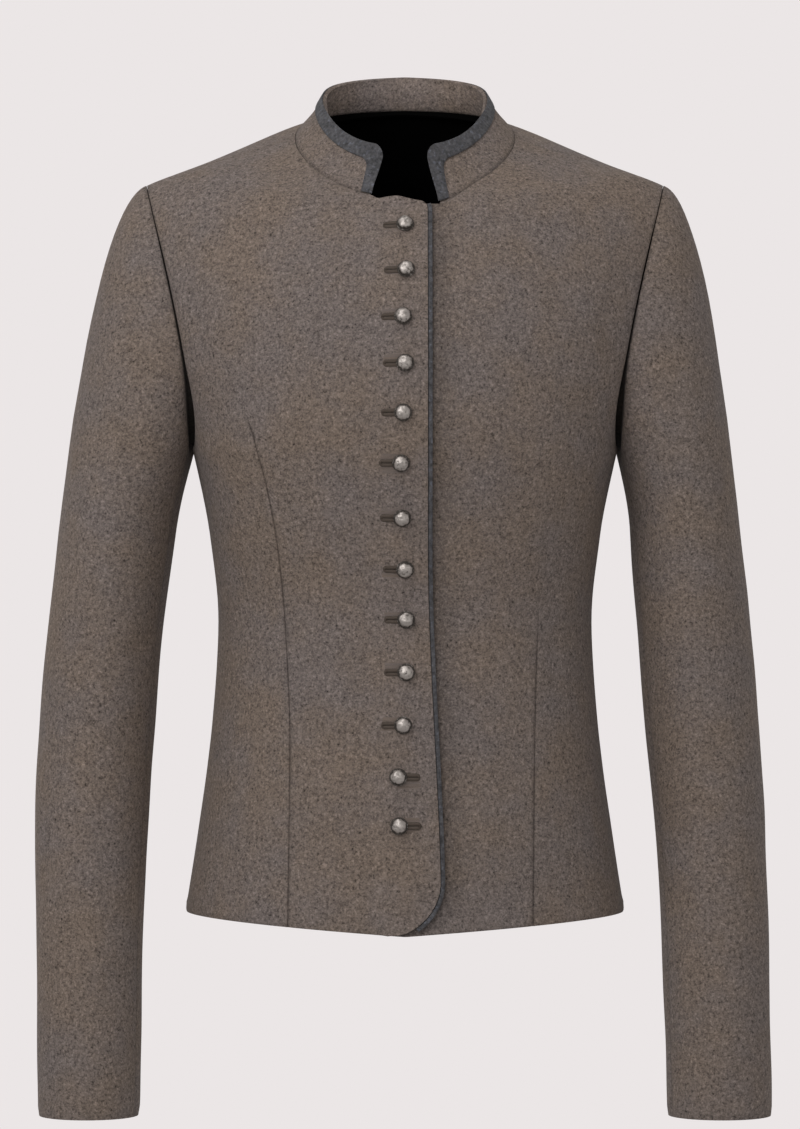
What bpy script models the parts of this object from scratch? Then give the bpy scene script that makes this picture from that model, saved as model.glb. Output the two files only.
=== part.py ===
"""Trachten jacket: a short fitted jacket of felted wool with a stand collar, filled out as when it is worn.

Metres, +Z up, +Y towards the back and +X towards the wearer's left. The origin is the middle of the neck,
just above the height where the shoulder seams meet the collar. Every cloth piece is a grid of points on one
shared form, so neighbours meet along the same seam curves, and Solidify gives each grid its wall.
"""

import math
from collections import namedtuple

import bmesh
import bpy
from mathutils import Matrix, Vector

# Cloth
CLOTH_WALL = 0.0020
COLLAR_WALL = 0.0026
TRIM_WALL = 0.0010
SEAM_GAP = 0.0003
ARMHOLE_GAP = 0.0006
COLLAR_GAP = 0.0008
BAND_GAP = 0.0004

# Neck ring, where the collar is sewn on
NECK_HALF_WIDTH = 0.080
NECK_FRONT_DEPTH = 0.0765
NECK_BACK_DEPTH = 0.062
NECK_FRONT_Z = -0.054
NECK_SIDE_Z = -0.004
NECK_BACK_Z = 0.019
NECK_SQUARENESS = 2.0

# Side seam, armhole and shoulder
SEAM_Y = 0.002
SHOULDER_X = 0.187
SHOULDER_Z = -0.0395
SHOULDER_SLOPE = 0.46
NECK_SLOPE = 0.42
UNDERARM_X = 0.1540
UNDERARM_Z = -0.231
ARMHOLE_FRONT_DEPTH = 0.056
ARMHOLE_BACK_DEPTH = 0.060
ARMHOLE_FRONT_SCOOP = 0.25
ARMHOLE_BACK_SCOOP = 0.10
ARMHOLE_FRONT_BEND = 1.4
ARMHOLE_BACK_BEND = 1.2
ARMHOLE_FRONT_HOLLOW = 0.004
ARMHOLE_BACK_HOLLOW = 0.009

# Front closing: the wearer's right front lies over the left
LAP_LIFT = 0.0033
UNDERLAP_X = -0.022
FRONT_EDGE_TOP_X = 0.0160
FRONT_EDGE_HEM_X = 0.0255
FRONT_EDGE_BEND_Z = -0.300
HEM_CORNER_RADIUS = 0.038
NECK_CORNER_RADIUS = 0.009
UNDERLAP_CORNER_RADIUS = 0.022
PIPING_WIDTH = 0.0032
PIPING_SINK = 0.0006
PIPING_FIRST_ROW = 2

# Front dart, from the hem to the bust
DART_TOP_Z = -0.203
DART_GROOVE_DEPTH = 0.0008
DART_GROOVE_HALF = 0.0025
DART_FADE = 0.020

# Stand collar and its felt band
COLLAR_HEIGHT = 0.040
COLLAR_BACK_SHARE = 0.64
COLLAR_FRONT_LEAN = math.radians(16)
COLLAR_SIDE_LEAN = math.radians(40)
COLLAR_BACK_LEAN = math.radians(20)
COLLAR_HOLLOW = 0.0012
COLLAR_FRONT_BASE = 0.0240
COLLAR_FRONT_TOP = 0.0178
COLLAR_CORNER_RADIUS = 0.0095
BAND_WIDTH = 0.0128
BAND_FRONT_INNER = 0.0325
BAND_CORNER_RADIUS = 0.007
BAND_FRONT_START = 0.050

# Domed metal buttons and their buttonholes
BUTTON_RADIUS = 0.0063
BUTTON_DOME = 0.0044
BUTTON_RIM = 0.0010
BUTTON_LIFT = 0.0008
SHANK_GAP = 0.0006
SHANK_RADIUS = 0.0008
SLIT_WIDTH = 0.0026
SLIT_LONG = 0.0150
SLIT_SHORT = 0.0018

# Two-piece sleeve: where its seams run round the arm, counted from the inner side towards the front
SLEEVE_FRONT_SEAM = 22.0
SLEEVE_BACK_SEAM = -104.0
SLEEVE_SEAM_STRIP = 4.0
CAP_OUT_HANDLE = 0.030
CAP_UNDER_HANDLE = 0.018
CAP_OUT_LANDING = 0.110
CAP_UNDER_LANDING = 0.020
CAP_FRONT_SWELL = 0.25

RIGHT, LEFT = -1, 1

# A torso section starts on the centre line or on the neck ring, and ends on the side seam or on the armhole.
# neck_turn and arm_turn are degrees along those rings, and 0 where the section starts or ends below them.
# end_turn is the way the cloth heads at its end: 90 is straight back, 0 straight out.
Section = namedtuple(
    "Section",
    "level centre_depth centre_z neck_turn side_x side_z arm_turn end_turn centre_fullness side_fullness",
)
FRONT_SECTIONS = (
    Section("hem", 0.1180, -0.5765, 0, 0.1590, -0.565, 0, 90, 0.62, 0.60),
    Section("low hip", 0.1130, -0.512, 0, 0.1500, -0.507, 0, 90, 0.62, 0.60),
    Section("high hip", 0.1070, -0.432, 0, 0.1398, -0.430, 0, 90, 0.62, 0.60),
    Section("waist", 0.1040, -0.356, 0, 0.1353, -0.356, 0, 90, 0.61, 0.60),
    Section("ribs", 0.1125, -0.292, 0, 0.1415, -0.292, 0, 90, 0.66, 0.62),
    Section("underarm", 0.1210, -0.231, 0, 0.1540, -0.231, 0, 90, 0.71, 0.65),
    Section("bust", 0.1225, -0.206, 0, 0.1540, -0.231, 25, 81, 0.63, 0.53),
    Section("low armhole", 0.1200, -0.174, 0, 0.1540, -0.231, 48, 71, 0.55, 0.43),
    Section("mid armhole", 0.1120, -0.135, 0, 0.1540, -0.231, 72, 58, 0.50, 0.38),
    Section("chest", 0.0960, -0.092, 0, 0.1540, -0.231, 95, 46, 0.46, 0.36),
    Section("neck", 0.0745, -0.054, 0, 0.1540, -0.231, 116, 37, 0.42, 0.35),
    Section("collar end", 0.0745, -0.054, 18, 0.1540, -0.231, 131, 29, 0.38, 0.34),
    Section("collar front", 0.0745, -0.054, 42, 0.1540, -0.231, 147, 21, 0.36, 0.35),
    Section("collar side", 0.0745, -0.054, 68, 0.1540, -0.231, 164, 11, 0.34, 0.34),
    Section("shoulder", 0.0745, -0.054, 90, 0.1540, -0.231, 180, 0, 0.33, 0.33),
)
BACK_SECTIONS = (
    Section("hem", 0.1220, -0.565, 0, 0.1590, -0.565, 0, 90, 0.60, 0.58),
    Section("low hip", 0.1160, -0.507, 0, 0.1500, -0.507, 0, 90, 0.60, 0.58),
    Section("high hip", 0.1010, -0.430, 0, 0.1398, -0.430, 0, 90, 0.60, 0.58),
    Section("waist", 0.0870, -0.356, 0, 0.1353, -0.356, 0, 90, 0.60, 0.58),
    Section("ribs", 0.0940, -0.292, 0, 0.1415, -0.292, 0, 90, 0.63, 0.61),
    Section("underarm", 0.1030, -0.231, 0, 0.1540, -0.231, 0, 90, 0.68, 0.65),
    Section("low blade", 0.1065, -0.194, 0, 0.1540, -0.231, 25, 75, 0.58, 0.44),
    Section("blade", 0.1075, -0.150, 0, 0.1540, -0.231, 48, 60, 0.49, 0.33),
    Section("mid armhole", 0.1045, -0.105, 0, 0.1540, -0.231, 72, 50, 0.44, 0.32),
    Section("upper back", 0.0960, -0.056, 0, 0.1540, -0.231, 96, 41, 0.42, 0.33),
    Section("yoke", 0.0820, -0.014, 0, 0.1540, -0.231, 120, 32, 0.40, 0.34),
    Section("neck", 0.0640, 0.019, 0, 0.1540, -0.231, 140, 24, 0.37, 0.34),
    Section("neck half", 0.0640, 0.019, 35, 0.1540, -0.231, 156, 16, 0.35, 0.34),
    Section("neck side", 0.0640, 0.019, 65, 0.1540, -0.231, 169, 8, 0.34, 0.34),
    Section("shoulder", 0.0640, 0.019, 90, 0.1540, -0.231, 180, 0, 0.33, 0.33),
)
NECK_SECTION = [section.level for section in FRONT_SECTIONS].index("neck")

# A sleeve section is a level oval. Outer and inner are its distances from the jacket's middle.
SleeveSection = namedtuple("SleeveSection", "level z right_outer right_inner left_outer left_inner y half_depth")
SLEEVE_SECTIONS = (
    SleeveSection("cap base", -0.290, 0.2510, 0.1660, 0.2430, 0.1630, 0.002, 0.0605),
    SleeveSection("upper arm", -0.360, 0.2586, 0.1753, 0.2506, 0.1680, -0.001, 0.0565),
    SleeveSection("elbow", -0.430, 0.2648, 0.1808, 0.2562, 0.1738, -0.004, 0.0530),
    SleeveSection("below elbow", -0.500, 0.2675, 0.1856, 0.2603, 0.1805, -0.010, 0.0495),
    SleeveSection("forearm", -0.580, 0.2660, 0.1890, 0.2622, 0.1850, -0.019, 0.0460),
    SleeveSection("wrist", -0.650, 0.2650, 0.1898, 0.2630, 0.1872, -0.027, 0.0430),
    SleeveSection("cuff", -0.710, 0.2638, 0.1910, 0.2638, 0.1885, -0.033, 0.0410),
)

# The dart's distance from the jacket's middle, on each front
DartPoint = namedtuple("DartPoint", "z right_x left_x")
DART_POINTS = (
    DartPoint(-0.5765, 0.0830, 0.0905),
    DartPoint(-0.440, 0.0815, 0.0920),
    DartPoint(-0.356, 0.0850, 0.0945),
    DartPoint(-0.300, 0.0905, 0.0985),
    DartPoint(-0.250, 0.1000, 0.1050),
    DartPoint(DART_TOP_Z, 0.1150, 0.1180),
    DartPoint(-0.120, 0.1300, 0.1300),
    DartPoint(-0.020, 0.1330, 0.1330),
)

# Each button, from the neck down: its height, how far it sits from the middle, and the side its slit runs to
Button = namedtuple("Button", "z x slit_side")
BUTTONS = (
    Button(-0.0748, 0.0000, RIGHT),
    Button(-0.1072, 0.0007, RIGHT),
    Button(-0.1403, -0.0014, RIGHT),
    Button(-0.1730, 0.0000, RIGHT),
    Button(-0.2075, -0.0014, RIGHT),
    Button(-0.2426, -0.0028, RIGHT),
    Button(-0.2812, -0.0021, RIGHT),
    Button(-0.3172, 0.0000, RIGHT),
    Button(-0.3532, 0.0007, RIGHT),
    Button(-0.3906, 0.0007, RIGHT),
    Button(-0.4279, -0.0014, RIGHT),
    Button(-0.4645, -0.0049, LEFT),
    Button(-0.4988, -0.0042, LEFT),
)


# Curves

def smooth(share):
    """An S-shaped step from 0 to 1."""
    share = min(1.0, max(0.0, share))
    return share * share * (3 - 2 * share)


def mixed(first, second, share):
    return first + (second - first) * share


def slope_at(values, index):
    """A slope at one of a row of values that keeps the curve from overshooting them."""
    before = values[index] - values[index - 1] if index else 0.0
    after = values[index + 1] - values[index] if index + 1 < len(values) else 0.0
    if before * after <= 0:
        return 0.0 if 0 < index < len(values) - 1 else before + after
    return 2 * before * after / (before + after)


def eased(values, place):
    """A value at a place between the rows of a column, on a smooth curve through them."""
    index = min(int(place), len(values) - 2)
    share = place - index
    start, end = values[index], values[index + 1]
    out_slope, in_slope = slope_at(values, index), slope_at(values, index + 1)
    bulge = (out_slope - (end - start)) * (1 - share) - (in_slope - (end - start)) * share
    return mixed(start, end, share) + share * (1 - share) * bulge


def section_at(sections, place):
    """The section at a place between the rows of a table, as one of its rows."""
    numbers = [eased([row[column] for row in sections], place) for column in range(1, len(sections[0]))]
    return type(sections[0])("between", *numbers)


def place_of(heights, z):
    """The place in a table where its column of heights, rising or falling, reaches z."""
    for index in range(len(heights) - 1):
        low, high = sorted(heights[index : index + 2])
        if low <= z <= high:
            return index + (z - heights[index]) / (heights[index + 1] - heights[index])
    return 0.0 if abs(z - heights[0]) < abs(z - heights[-1]) else len(heights) - 1.0


def cubic(points, share):
    p0, p1, p2, p3 = points
    rest = 1 - share
    return p0 * rest**3 + p1 * (3 * rest**2 * share) + p2 * (3 * rest * share**2) + p3 * share**3


def solved(function, target, low, high, steps=40):
    """Where a rising function reaches a target."""
    for _ in range(steps):
        middle = (low + high) / 2
        low, high = (middle, high) if function(middle) < target else (low, middle)
    return (low + high) / 2


def corner_inset(gap, radius):
    """How far a round corner cuts into an edge, this far from the corner's end."""
    if gap >= radius:
        return 0.0
    return radius - math.sqrt(max(0.0, radius**2 - (radius - gap) ** 2))


# The form: neck ring, armhole and torso sections

def neck_point(turn):
    """A point of the neck ring on the wearer's left. 0 degrees is the centre front, 180 the centre back."""
    angle = math.radians(turn)
    power = 2 / NECK_SQUARENESS
    depth = NECK_FRONT_DEPTH if turn < 90 else NECK_BACK_DEPTH
    y = -math.copysign(depth * abs(math.cos(angle)) ** power, math.cos(angle))
    # One parabola through the heights at the front, shoulder and back, so that the ring has no kink.
    front_rate = (NECK_SIDE_Z - NECK_FRONT_Z) / NECK_FRONT_DEPTH
    back_rate = (NECK_BACK_Z - NECK_SIDE_Z) / NECK_BACK_DEPTH
    bend = (back_rate - front_rate) / (NECK_FRONT_DEPTH + NECK_BACK_DEPTH)
    z = NECK_SIDE_Z + (front_rate + bend * NECK_FRONT_DEPTH) * y + bend * y * y
    return Vector((NECK_HALF_WIDTH * math.sin(angle) ** power, SEAM_Y + y, z))


def armhole_point(turn):
    """A point of the armhole on the wearer's left: 0 is the underarm, 90 the front, 180 the shoulder, 270 the back."""
    angle = math.radians(turn)
    front = math.sin(angle) >= 0
    depth = ARMHOLE_FRONT_DEPTH if front else ARMHOLE_BACK_DEPTH
    scoop = ARMHOLE_FRONT_SCOOP if front else ARMHOLE_BACK_SCOOP
    bend = ARMHOLE_FRONT_BEND if front else ARMHOLE_BACK_BEND
    hollow = ARMHOLE_FRONT_HOLLOW if front else ARMHOLE_BACK_HOLLOW
    climb = (1 - math.cos(angle)) / 2
    return Vector((
        mixed(UNDERARM_X, SHOULDER_X, climb**bend) - hollow * abs(math.sin(angle)) * (1 - climb),
        SEAM_Y - depth * math.sin(angle) * (1 + scoop * math.cos(angle)),
        mixed(UNDERARM_Z, SHOULDER_Z, climb),
    ))


class TorsoCurve:
    """One section of the torso on the wearer's left, as a cubic from the centre line or neck to the side."""

    def __init__(self, sections, place, facing):
        row = section_at(sections, place)
        neck_turn = row.neck_turn if facing < 0 else 180 - row.neck_turn
        arm_turn = row.arm_turn if facing < 0 else 360 - row.arm_turn
        start = neck_point(neck_turn) if row.neck_turn > 0 else Vector((0, facing * row.centre_depth, row.centre_z))
        end = armhole_point(arm_turn) if row.arm_turn > 0 else Vector((row.side_x, SEAM_Y, row.side_z))
        end.y += facing * SEAM_GAP / 2
        start.y += facing * SEAM_GAP / 2 if row.neck_turn > 0 else 0.0
        out, back = abs(end.x - start.x), abs(end.y - start.y)
        heading = math.radians(row.end_turn)
        fall = SHOULDER_SLOPE * smooth(row.arm_turn / 180)
        # Below the armhole a section climbs evenly to its end. Above, it leaves the middle level.
        first_fall = NECK_SLOPE * math.sin(math.radians(row.neck_turn)) ** 2 if row.arm_turn else (start.z - end.z) / out
        first = Vector((1, 0, -first_fall)) * row.centre_fullness * out
        last = Vector((math.cos(heading), -facing * math.sin(heading), -fall * math.cos(heading)))
        last *= row.side_fullness * (back * math.sin(heading) + out * math.cos(heading))
        self.points = (start, start + first, end - last, end)

    def at(self, share):
        """A point of the section. Below 0 it runs on over the centre line, as a mirror image."""
        point = cubic(self.points, abs(share))
        return point if share >= 0 else Vector((-point.x, point.y, point.z))

    def share_at_x(self, x):
        """Where the section is this far from the middle."""
        return math.copysign(solved(lambda share: self.at(share).x, abs(x), 0.0, 1.0), x)


def crowded(share):
    """A share that gathers evenly spaced steps towards the end, for fine strips beside a seam."""
    return 1 - (1 - share) ** 1.8


# The fronts

def right_edge_x(z):
    """How far the overlapping front reaches past the middle, with its round corners at the neck and hem."""
    lean = smooth((FRONT_EDGE_BEND_Z - z) / (FRONT_EDGE_BEND_Z - FRONT_SECTIONS[0].centre_z))
    hem_gap = z - FRONT_SECTIONS[0].centre_z
    neck_gap = FRONT_SECTIONS[NECK_SECTION].centre_z - z
    corner = corner_inset(hem_gap, HEM_CORNER_RADIUS) + corner_inset(neck_gap, NECK_CORNER_RADIUS)
    return mixed(FRONT_EDGE_TOP_X, FRONT_EDGE_HEM_X, lean) - corner


def left_edge_x(z):
    """How far the left front runs on under the right, with its corner at the neck rounded off."""
    return -UNDERLAP_X - corner_inset(FRONT_SECTIONS[NECK_SECTION].centre_z - z, UNDERLAP_CORNER_RADIUS)


def centre_facing(place):
    """The way the form faces on its front centre line."""
    place = min(place, NECK_SECTION - 0.1)
    up = TorsoCurve(FRONT_SECTIONS, place + 0.1, -1).at(0) - TorsoCurve(FRONT_SECTIONS, max(0, place - 0.1), -1).at(0)
    return Vector((0, -up.z, up.y)).normalized()


def lapped(point, place, side):
    """A point of a front, lifted over the other front or tucked under it near the middle."""
    share = smooth((point.x + 0.030) / 0.026) if side == RIGHT else -smooth((0.012 - point.x) / 0.024)
    return point + centre_facing(place) * LAP_LIFT * share if share else point


def front_curve_start(curve, place, side):
    """The share of a section where a front's edge cuts it."""
    if place > NECK_SECTION:
        return 0.0
    z = curve.at(0).z
    edge = right_edge_x(z) if side == RIGHT else left_edge_x(z)
    return -curve.share_at_x(edge)


def front_point(place, share, side):
    """A point of a front, at a place up the table of sections and a share across from centre to side."""
    point = TorsoCurve(FRONT_SECTIONS, place, -1).at(share)
    return lapped(Vector((side * point.x, point.y, point.z)), place, side)


def dart_share(curve, side):
    """Where the dart's line crosses a section."""
    column = "right_x" if side == RIGHT else "left_x"
    place = place_of([point.z for point in DART_POINTS], curve.at(0.6).z)
    x = eased([getattr(point, column) for point in DART_POINTS], place)
    return curve.share_at_x(x)


def front_shares(curve, place, side, inner_columns, outer_columns):
    """The shares across a section where a front's columns of points lie, with three at the dart."""
    start, dart = front_curve_start(curve, place, side), dart_share(curve, side)
    half = DART_GROOVE_HALF / (curve.at(dart + 0.01) - curve.at(dart)).length * 0.01
    inner = [mixed(start, dart - half, (step / inner_columns) ** 1.5) for step in range(inner_columns + 1)]
    outer = [mixed(dart + half, 1.0, crowded(step / outer_columns)) for step in range(outer_columns + 1)]
    return [*inner, dart, *outer]


def front_grid(places, side, inner_columns, outer_columns):
    grid = []
    for place in places:
        curve = TorsoCurve(FRONT_SECTIONS, place, -1)
        shares = front_shares(curve, place, side, inner_columns, outer_columns)
        row = [front_point(place, share, side) for share in shares]
        groove = DART_GROOVE_DEPTH * smooth((DART_TOP_Z - row[inner_columns + 1].z) / DART_FADE)
        row[inner_columns + 1].y += groove
        grid.append(row)
    return grid


def on_front(x, z, side):
    """The outer surface of a front at a point of the front view, and the way it faces there."""
    def row_height(place):
        curve = TorsoCurve(FRONT_SECTIONS, place, -1)
        return curve.at(curve.share_at_x(side * x)).z
    place = solved(row_height, z, 0.0, float(NECK_SECTION))
    share = TorsoCurve(FRONT_SECTIONS, place, -1).share_at_x(side * x)
    step = 0.01
    across = front_point(place, share + step, side) - front_point(place, share - step, side)
    up = front_point(place + step, share, side) - front_point(place - step, share, side)
    return front_point(place, share, side), side * across.cross(up).normalized()


def spread(counts):
    """Places in a table of sections, with this many steps in each of its intervals."""
    places = [index + step / count for index, count in enumerate(counts) for step in range(count)]
    return [*places, float(len(counts))]


def torso_places(counts):
    """The same, with fine steps for the round corners at hem and neck, and beside the shoulder seam."""
    places = []
    for place in spread(counts):
        interval = int(place)
        share = place - interval
        if interval == 0:
            share = share**2
        elif interval in (NECK_SECTION - 1, len(counts) - 1):
            share = crowded(share)
        places.append(interval + share)
    return places


# The sleeves

def sleeve_oval(place, turn, side):
    row = section_at(SLEEVE_SECTIONS, place)
    outer, inner = (row.right_outer, row.right_inner) if side == RIGHT else (row.left_outer, row.left_inner)
    angle = math.radians(turn)
    x = (outer + inner) / 2 - (outer - inner) / 2 * math.cos(angle)
    return Vector((x, row.y - row.half_depth * math.sin(angle), row.z))


def cap_point(share, turn, side):
    """A point of the sleeve's cap, between the armhole and the first level oval, on the wearer's left."""
    climb = (1 - math.cos(math.radians(turn))) / 2
    start = armhole_point(turn) + Vector((ARMHOLE_GAP, 0, 0))
    end = sleeve_oval(0, turn, side)
    out = Vector((0.94, 0, -0.34))
    down = Vector((0.20, 0, -0.98))
    heading = down.lerp(out, climb) - Vector((0, CAP_FRONT_SWELL * math.sin(math.radians(turn)), 0))
    landing = (sleeve_oval(0.2, turn, side) - end).normalized()
    points = (
        start,
        start + heading.normalized() * mixed(CAP_UNDER_HANDLE, CAP_OUT_HANDLE, climb),
        end - landing * mixed(CAP_UNDER_LANDING, CAP_OUT_LANDING, climb),
        end,
    )
    return cubic(points, share)


def sleeve_point(place, turn, side):
    """A point of a sleeve: place 0 to 1 is its cap, then one for each interval of its table of sections."""
    point = cap_point(place, turn, side) if place < 1 else sleeve_oval(place - 1, turn, side)
    return Vector((side * point.x, point.y, point.z))


def sleeve_grid(places, side, first_turn, last_turn, columns):
    half_gap = math.degrees(SEAM_GAP / 2 / SLEEVE_SECTIONS[-1].half_depth)
    first, last = first_turn + half_gap, last_turn - half_gap
    near, far = first + SLEEVE_SEAM_STRIP, last - SLEEVE_SEAM_STRIP
    turns = [first, *(mixed(near, far, step / columns) for step in range(columns + 1)), last]
    return [[sleeve_point(place, turn, side) for turn in turns] for place in places]


# The collar

def neck_lengths(steps=360):
    """Degrees along the neck ring and the length of seam from the centre front to each."""
    turns = [180 * step / steps for step in range(steps + 1)]
    points = [neck_point(turn) for turn in turns]
    lengths = [0.0]
    for before, after in zip(points, points[1:]):
        lengths.append(lengths[-1] + (after - before).length)
    return turns, lengths


NECK_TURNS, NECK_LENGTHS = neck_lengths()


def collar_point(along, height, lift=0.0):
    """A point of the collar's outer face: this far along the seam from the centre front, and up from it."""
    place = place_of(NECK_LENGTHS, along)
    index = min(int(place), len(NECK_TURNS) - 2)
    turn = mixed(NECK_TURNS[index], NECK_TURNS[index + 1], place - index)
    tangent = neck_point(min(180, turn + 0.5)) - neck_point(max(0, turn - 0.5))
    inward = Vector((-tangent.y, tangent.x, 0)).normalized()
    end_lean = COLLAR_FRONT_LEAN if turn < 90 else COLLAR_BACK_LEAN
    lean = mixed(end_lean, COLLAR_SIDE_LEAN, math.sin(math.radians(turn)))
    rise = inward * math.sin(lean) + Vector((0, 0, math.cos(lean)))
    outward = Vector((0, 0, math.sin(lean))) - inward * math.cos(lean)
    share = height / COLLAR_HEIGHT
    hollow = 16 * COLLAR_HOLLOW * (share * (1 - share)) ** 2
    low_back = mixed(1.0, COLLAR_BACK_SHARE, (1 - math.cos(math.radians(turn))) / 2)
    return neck_point(turn) + rise * (height * low_back + COLLAR_GAP) + outward * (lift - hollow)


def collar_front(height):
    """How far along the seam the collar's front edge lies at a height, but for its round corner."""
    return mixed(COLLAR_FRONT_BASE, COLLAR_FRONT_TOP, smooth(height / COLLAR_HEIGHT))


def collar_edge(height):
    return collar_front(height) + corner_inset(COLLAR_HEIGHT - height, COLLAR_CORNER_RADIUS)


def collar_stations(steps):
    """Places along the seam from the centre back to the band's corner, shared by the collar and its band."""
    return [mixed(NECK_LENGTHS[-1], BAND_FRONT_START, step / steps) for step in range(steps + 1)]


def collar_grid(steps, front_steps, rows):
    grid = []
    for row in range(rows + 1):
        height = COLLAR_HEIGHT * math.sin(math.radians(90 * row / rows))
        front = [
            mixed(BAND_FRONT_START, collar_edge(height), step / front_steps) for step in range(1, front_steps + 1)
        ]
        grid.append([collar_point(along, height) for along in [*collar_stations(steps), *front]])
    return grid


def band_rail(top_steps, top, front, radius):
    """One long edge of the felt band, as places along the seam and heights, from the centre back to the front foot."""
    rail = [(along, top) for along in collar_stations(top_steps)]
    corner = front(top - radius) + radius
    rail += [(mixed(BAND_FRONT_START, corner, step / 3), top) for step in (1, 2, 3)]
    for angle in (18, 36, 54, 72, 90):
        turn = math.radians(angle)
        rail.append((corner - radius * math.sin(turn), top - radius * (1 - math.cos(turn))))
    for step in (1, 2, 3, 4):
        height = (top - radius) * (1 - step / 4)
        rail.append((front(height), height))
    return rail


def band_grid(top_steps, rows):
    outer = band_rail(top_steps, COLLAR_HEIGHT, collar_front, COLLAR_CORNER_RADIUS)
    inner = band_rail(top_steps, COLLAR_HEIGHT - BAND_WIDTH, lambda height: BAND_FRONT_INNER, BAND_CORNER_RADIUS)
    grid = []
    for row in range(rows + 1):
        share = row / rows
        grid.append([
            collar_point(mixed(near[0], far[0], share), mixed(near[1], far[1], share), BAND_GAP + TRIM_WALL)
            for near, far in zip(inner, outer)
        ])
    return grid


# Making objects

def material(name, colour, roughness, metallic=0.0):
    made = bpy.data.materials.new(name)
    made.use_nodes = True
    shader = made.node_tree.nodes["Principled BSDF"]
    shader.inputs["Base Color"].default_value = (*colour, 1)
    shader.inputs["Roughness"].default_value = roughness
    shader.inputs["Metallic"].default_value = metallic
    return made


def placed(name, mesh, collection, finish):
    mesh.materials.append(finish)
    obj = bpy.data.objects.new(name, mesh)
    collection.objects.link(obj)
    return obj


def cloth(name, grid, wall, collection, finish, outward, mirrored=False):
    """A cloth piece: a grid of points on its outer face, whose wall grows inward.

    outward is a direction that the middle of the grid faces, which sets the side the wall grows to.
    """
    columns, rows = len(grid[0]) - 1, len(grid) - 1
    shape = bmesh.new()
    bmesh.ops.create_grid(shape, x_segments=columns, y_segments=rows, size=1.0)
    for vertex in shape.verts:
        column = round((vertex.co.x + 1) / 2 * columns)
        row = round((vertex.co.y + 1) / 2 * rows)
        vertex.co = grid[row][column]
    shape.normal_update()
    facing = sum((face.normal * face.calc_area() for face in shape.faces), Vector())
    if facing.dot(outward) < 0:
        bmesh.ops.reverse_faces(shape, faces=shape.faces)
    mesh = bpy.data.meshes.new(name)
    shape.to_mesh(mesh)
    shape.free()
    obj = placed(name, mesh, collection, finish)
    if mirrored:
        mirror = obj.modifiers.new("Both halves", "MIRROR")
        mirror.merge_threshold = 0.00005
    solid = obj.modifiers.new("Wall", "SOLIDIFY")
    solid.thickness = wall
    solid.offset = -1.0
    solid.use_even_offset = True
    return obj


def button_profile(front_gap):
    """The half outline of a button, from the top of its dome down to the foot of its shank."""
    dome = [
        (BUTTON_RADIUS * math.sin(math.radians(angle)), BUTTON_RIM + BUTTON_DOME * math.cos(math.radians(angle)))
        for angle in (0, 35, 65, 90)
    ]
    foot = -(front_gap - SHANK_GAP)
    return [*dome, (BUTTON_RADIUS * 0.94, 0.0), (SHANK_RADIUS, 0.0), (SHANK_RADIUS, foot), (0.0, foot)]


def make_button(name, button, collection, finish):
    """A domed button over the right front, whose shank goes through the slit to the left front below."""
    seat, facing = on_front(button.x, button.z, RIGHT)
    below, _ = on_front(button.x, button.z, LEFT)
    base = seat + facing * BUTTON_LIFT
    shape = bmesh.new()
    before = None
    for radius, height in button_profile((base - below).dot(facing)):
        vertex = shape.verts.new((radius, 0, height))
        if before:
            shape.edges.new((before, vertex))
        before = vertex
    mesh = bpy.data.meshes.new(name)
    shape.to_mesh(mesh)
    shape.free()
    obj = placed(name, mesh, collection, finish)
    turn = obj.modifiers.new("Turned", "SCREW")
    turn.steps = turn.render_steps = 12
    turn.use_merge_vertices = True
    turn.merge_threshold = 0.00001
    obj.location = base
    obj.rotation_mode = "QUATERNION"
    obj.rotation_quaternion = facing.to_track_quat("Z", "Y")
    return obj


def make_slit_cutter(collection, finish):
    """The buttonholes' slits, as one hidden cutter."""
    shape = bmesh.new()
    for button in BUTTONS:
        reach = {button.slit_side: SLIT_LONG, -button.slit_side: SLIT_SHORT}
        middle = button.x + (reach[LEFT] - reach[RIGHT]) / 2
        seat, facing = on_front(middle, button.z, RIGHT)
        size = Matrix.Diagonal((SLIT_LONG + SLIT_SHORT, SLIT_WIDTH, 3 * CLOTH_WALL, 1))
        turn = facing.to_track_quat("Z", "Y").to_matrix().to_4x4()
        place = Matrix.Translation(seat - facing * CLOTH_WALL / 2)
        bmesh.ops.create_cube(shape, size=1.0, matrix=place @ turn @ size)
    mesh = bpy.data.meshes.new("slit_cutter")
    shape.to_mesh(mesh)
    shape.free()
    cutter = placed("slit_cutter", mesh, collection, finish)
    cutter.hide_render = True
    cutter.display_type = "WIRE"
    return cutter


def piping_grid(front):
    """The felt piping along the overlapping front's edge, moved out from the front's own edge points."""
    edge = [row[0] for row in front]
    inner = [row[1] for row in front]
    sides = []
    for index, point in enumerate(edge):
        along = edge[min(index + 1, len(edge) - 1)] - edge[max(index - 1, 0)]
        facing = along.cross(inner[index] - point).normalized()
        out = facing.cross(along).normalized()
        out = out if out.dot(inner[index] - point) < 0 else -out
        facing = facing if facing.y < 0 else -facing
        sunk = point - facing * PIPING_SINK
        sides.append((sunk + out * SEAM_GAP, sunk + out * (SEAM_GAP + PIPING_WIDTH)))
    return [[pair[0] for pair in sides], [pair[1] for pair in sides]]


def clear_scene():
    for obj in list(bpy.data.objects):
        bpy.data.objects.remove(obj)


def new_collection(name):
    made = bpy.data.collections.new(name)
    bpy.context.scene.collection.children.link(made)
    return made


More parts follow.
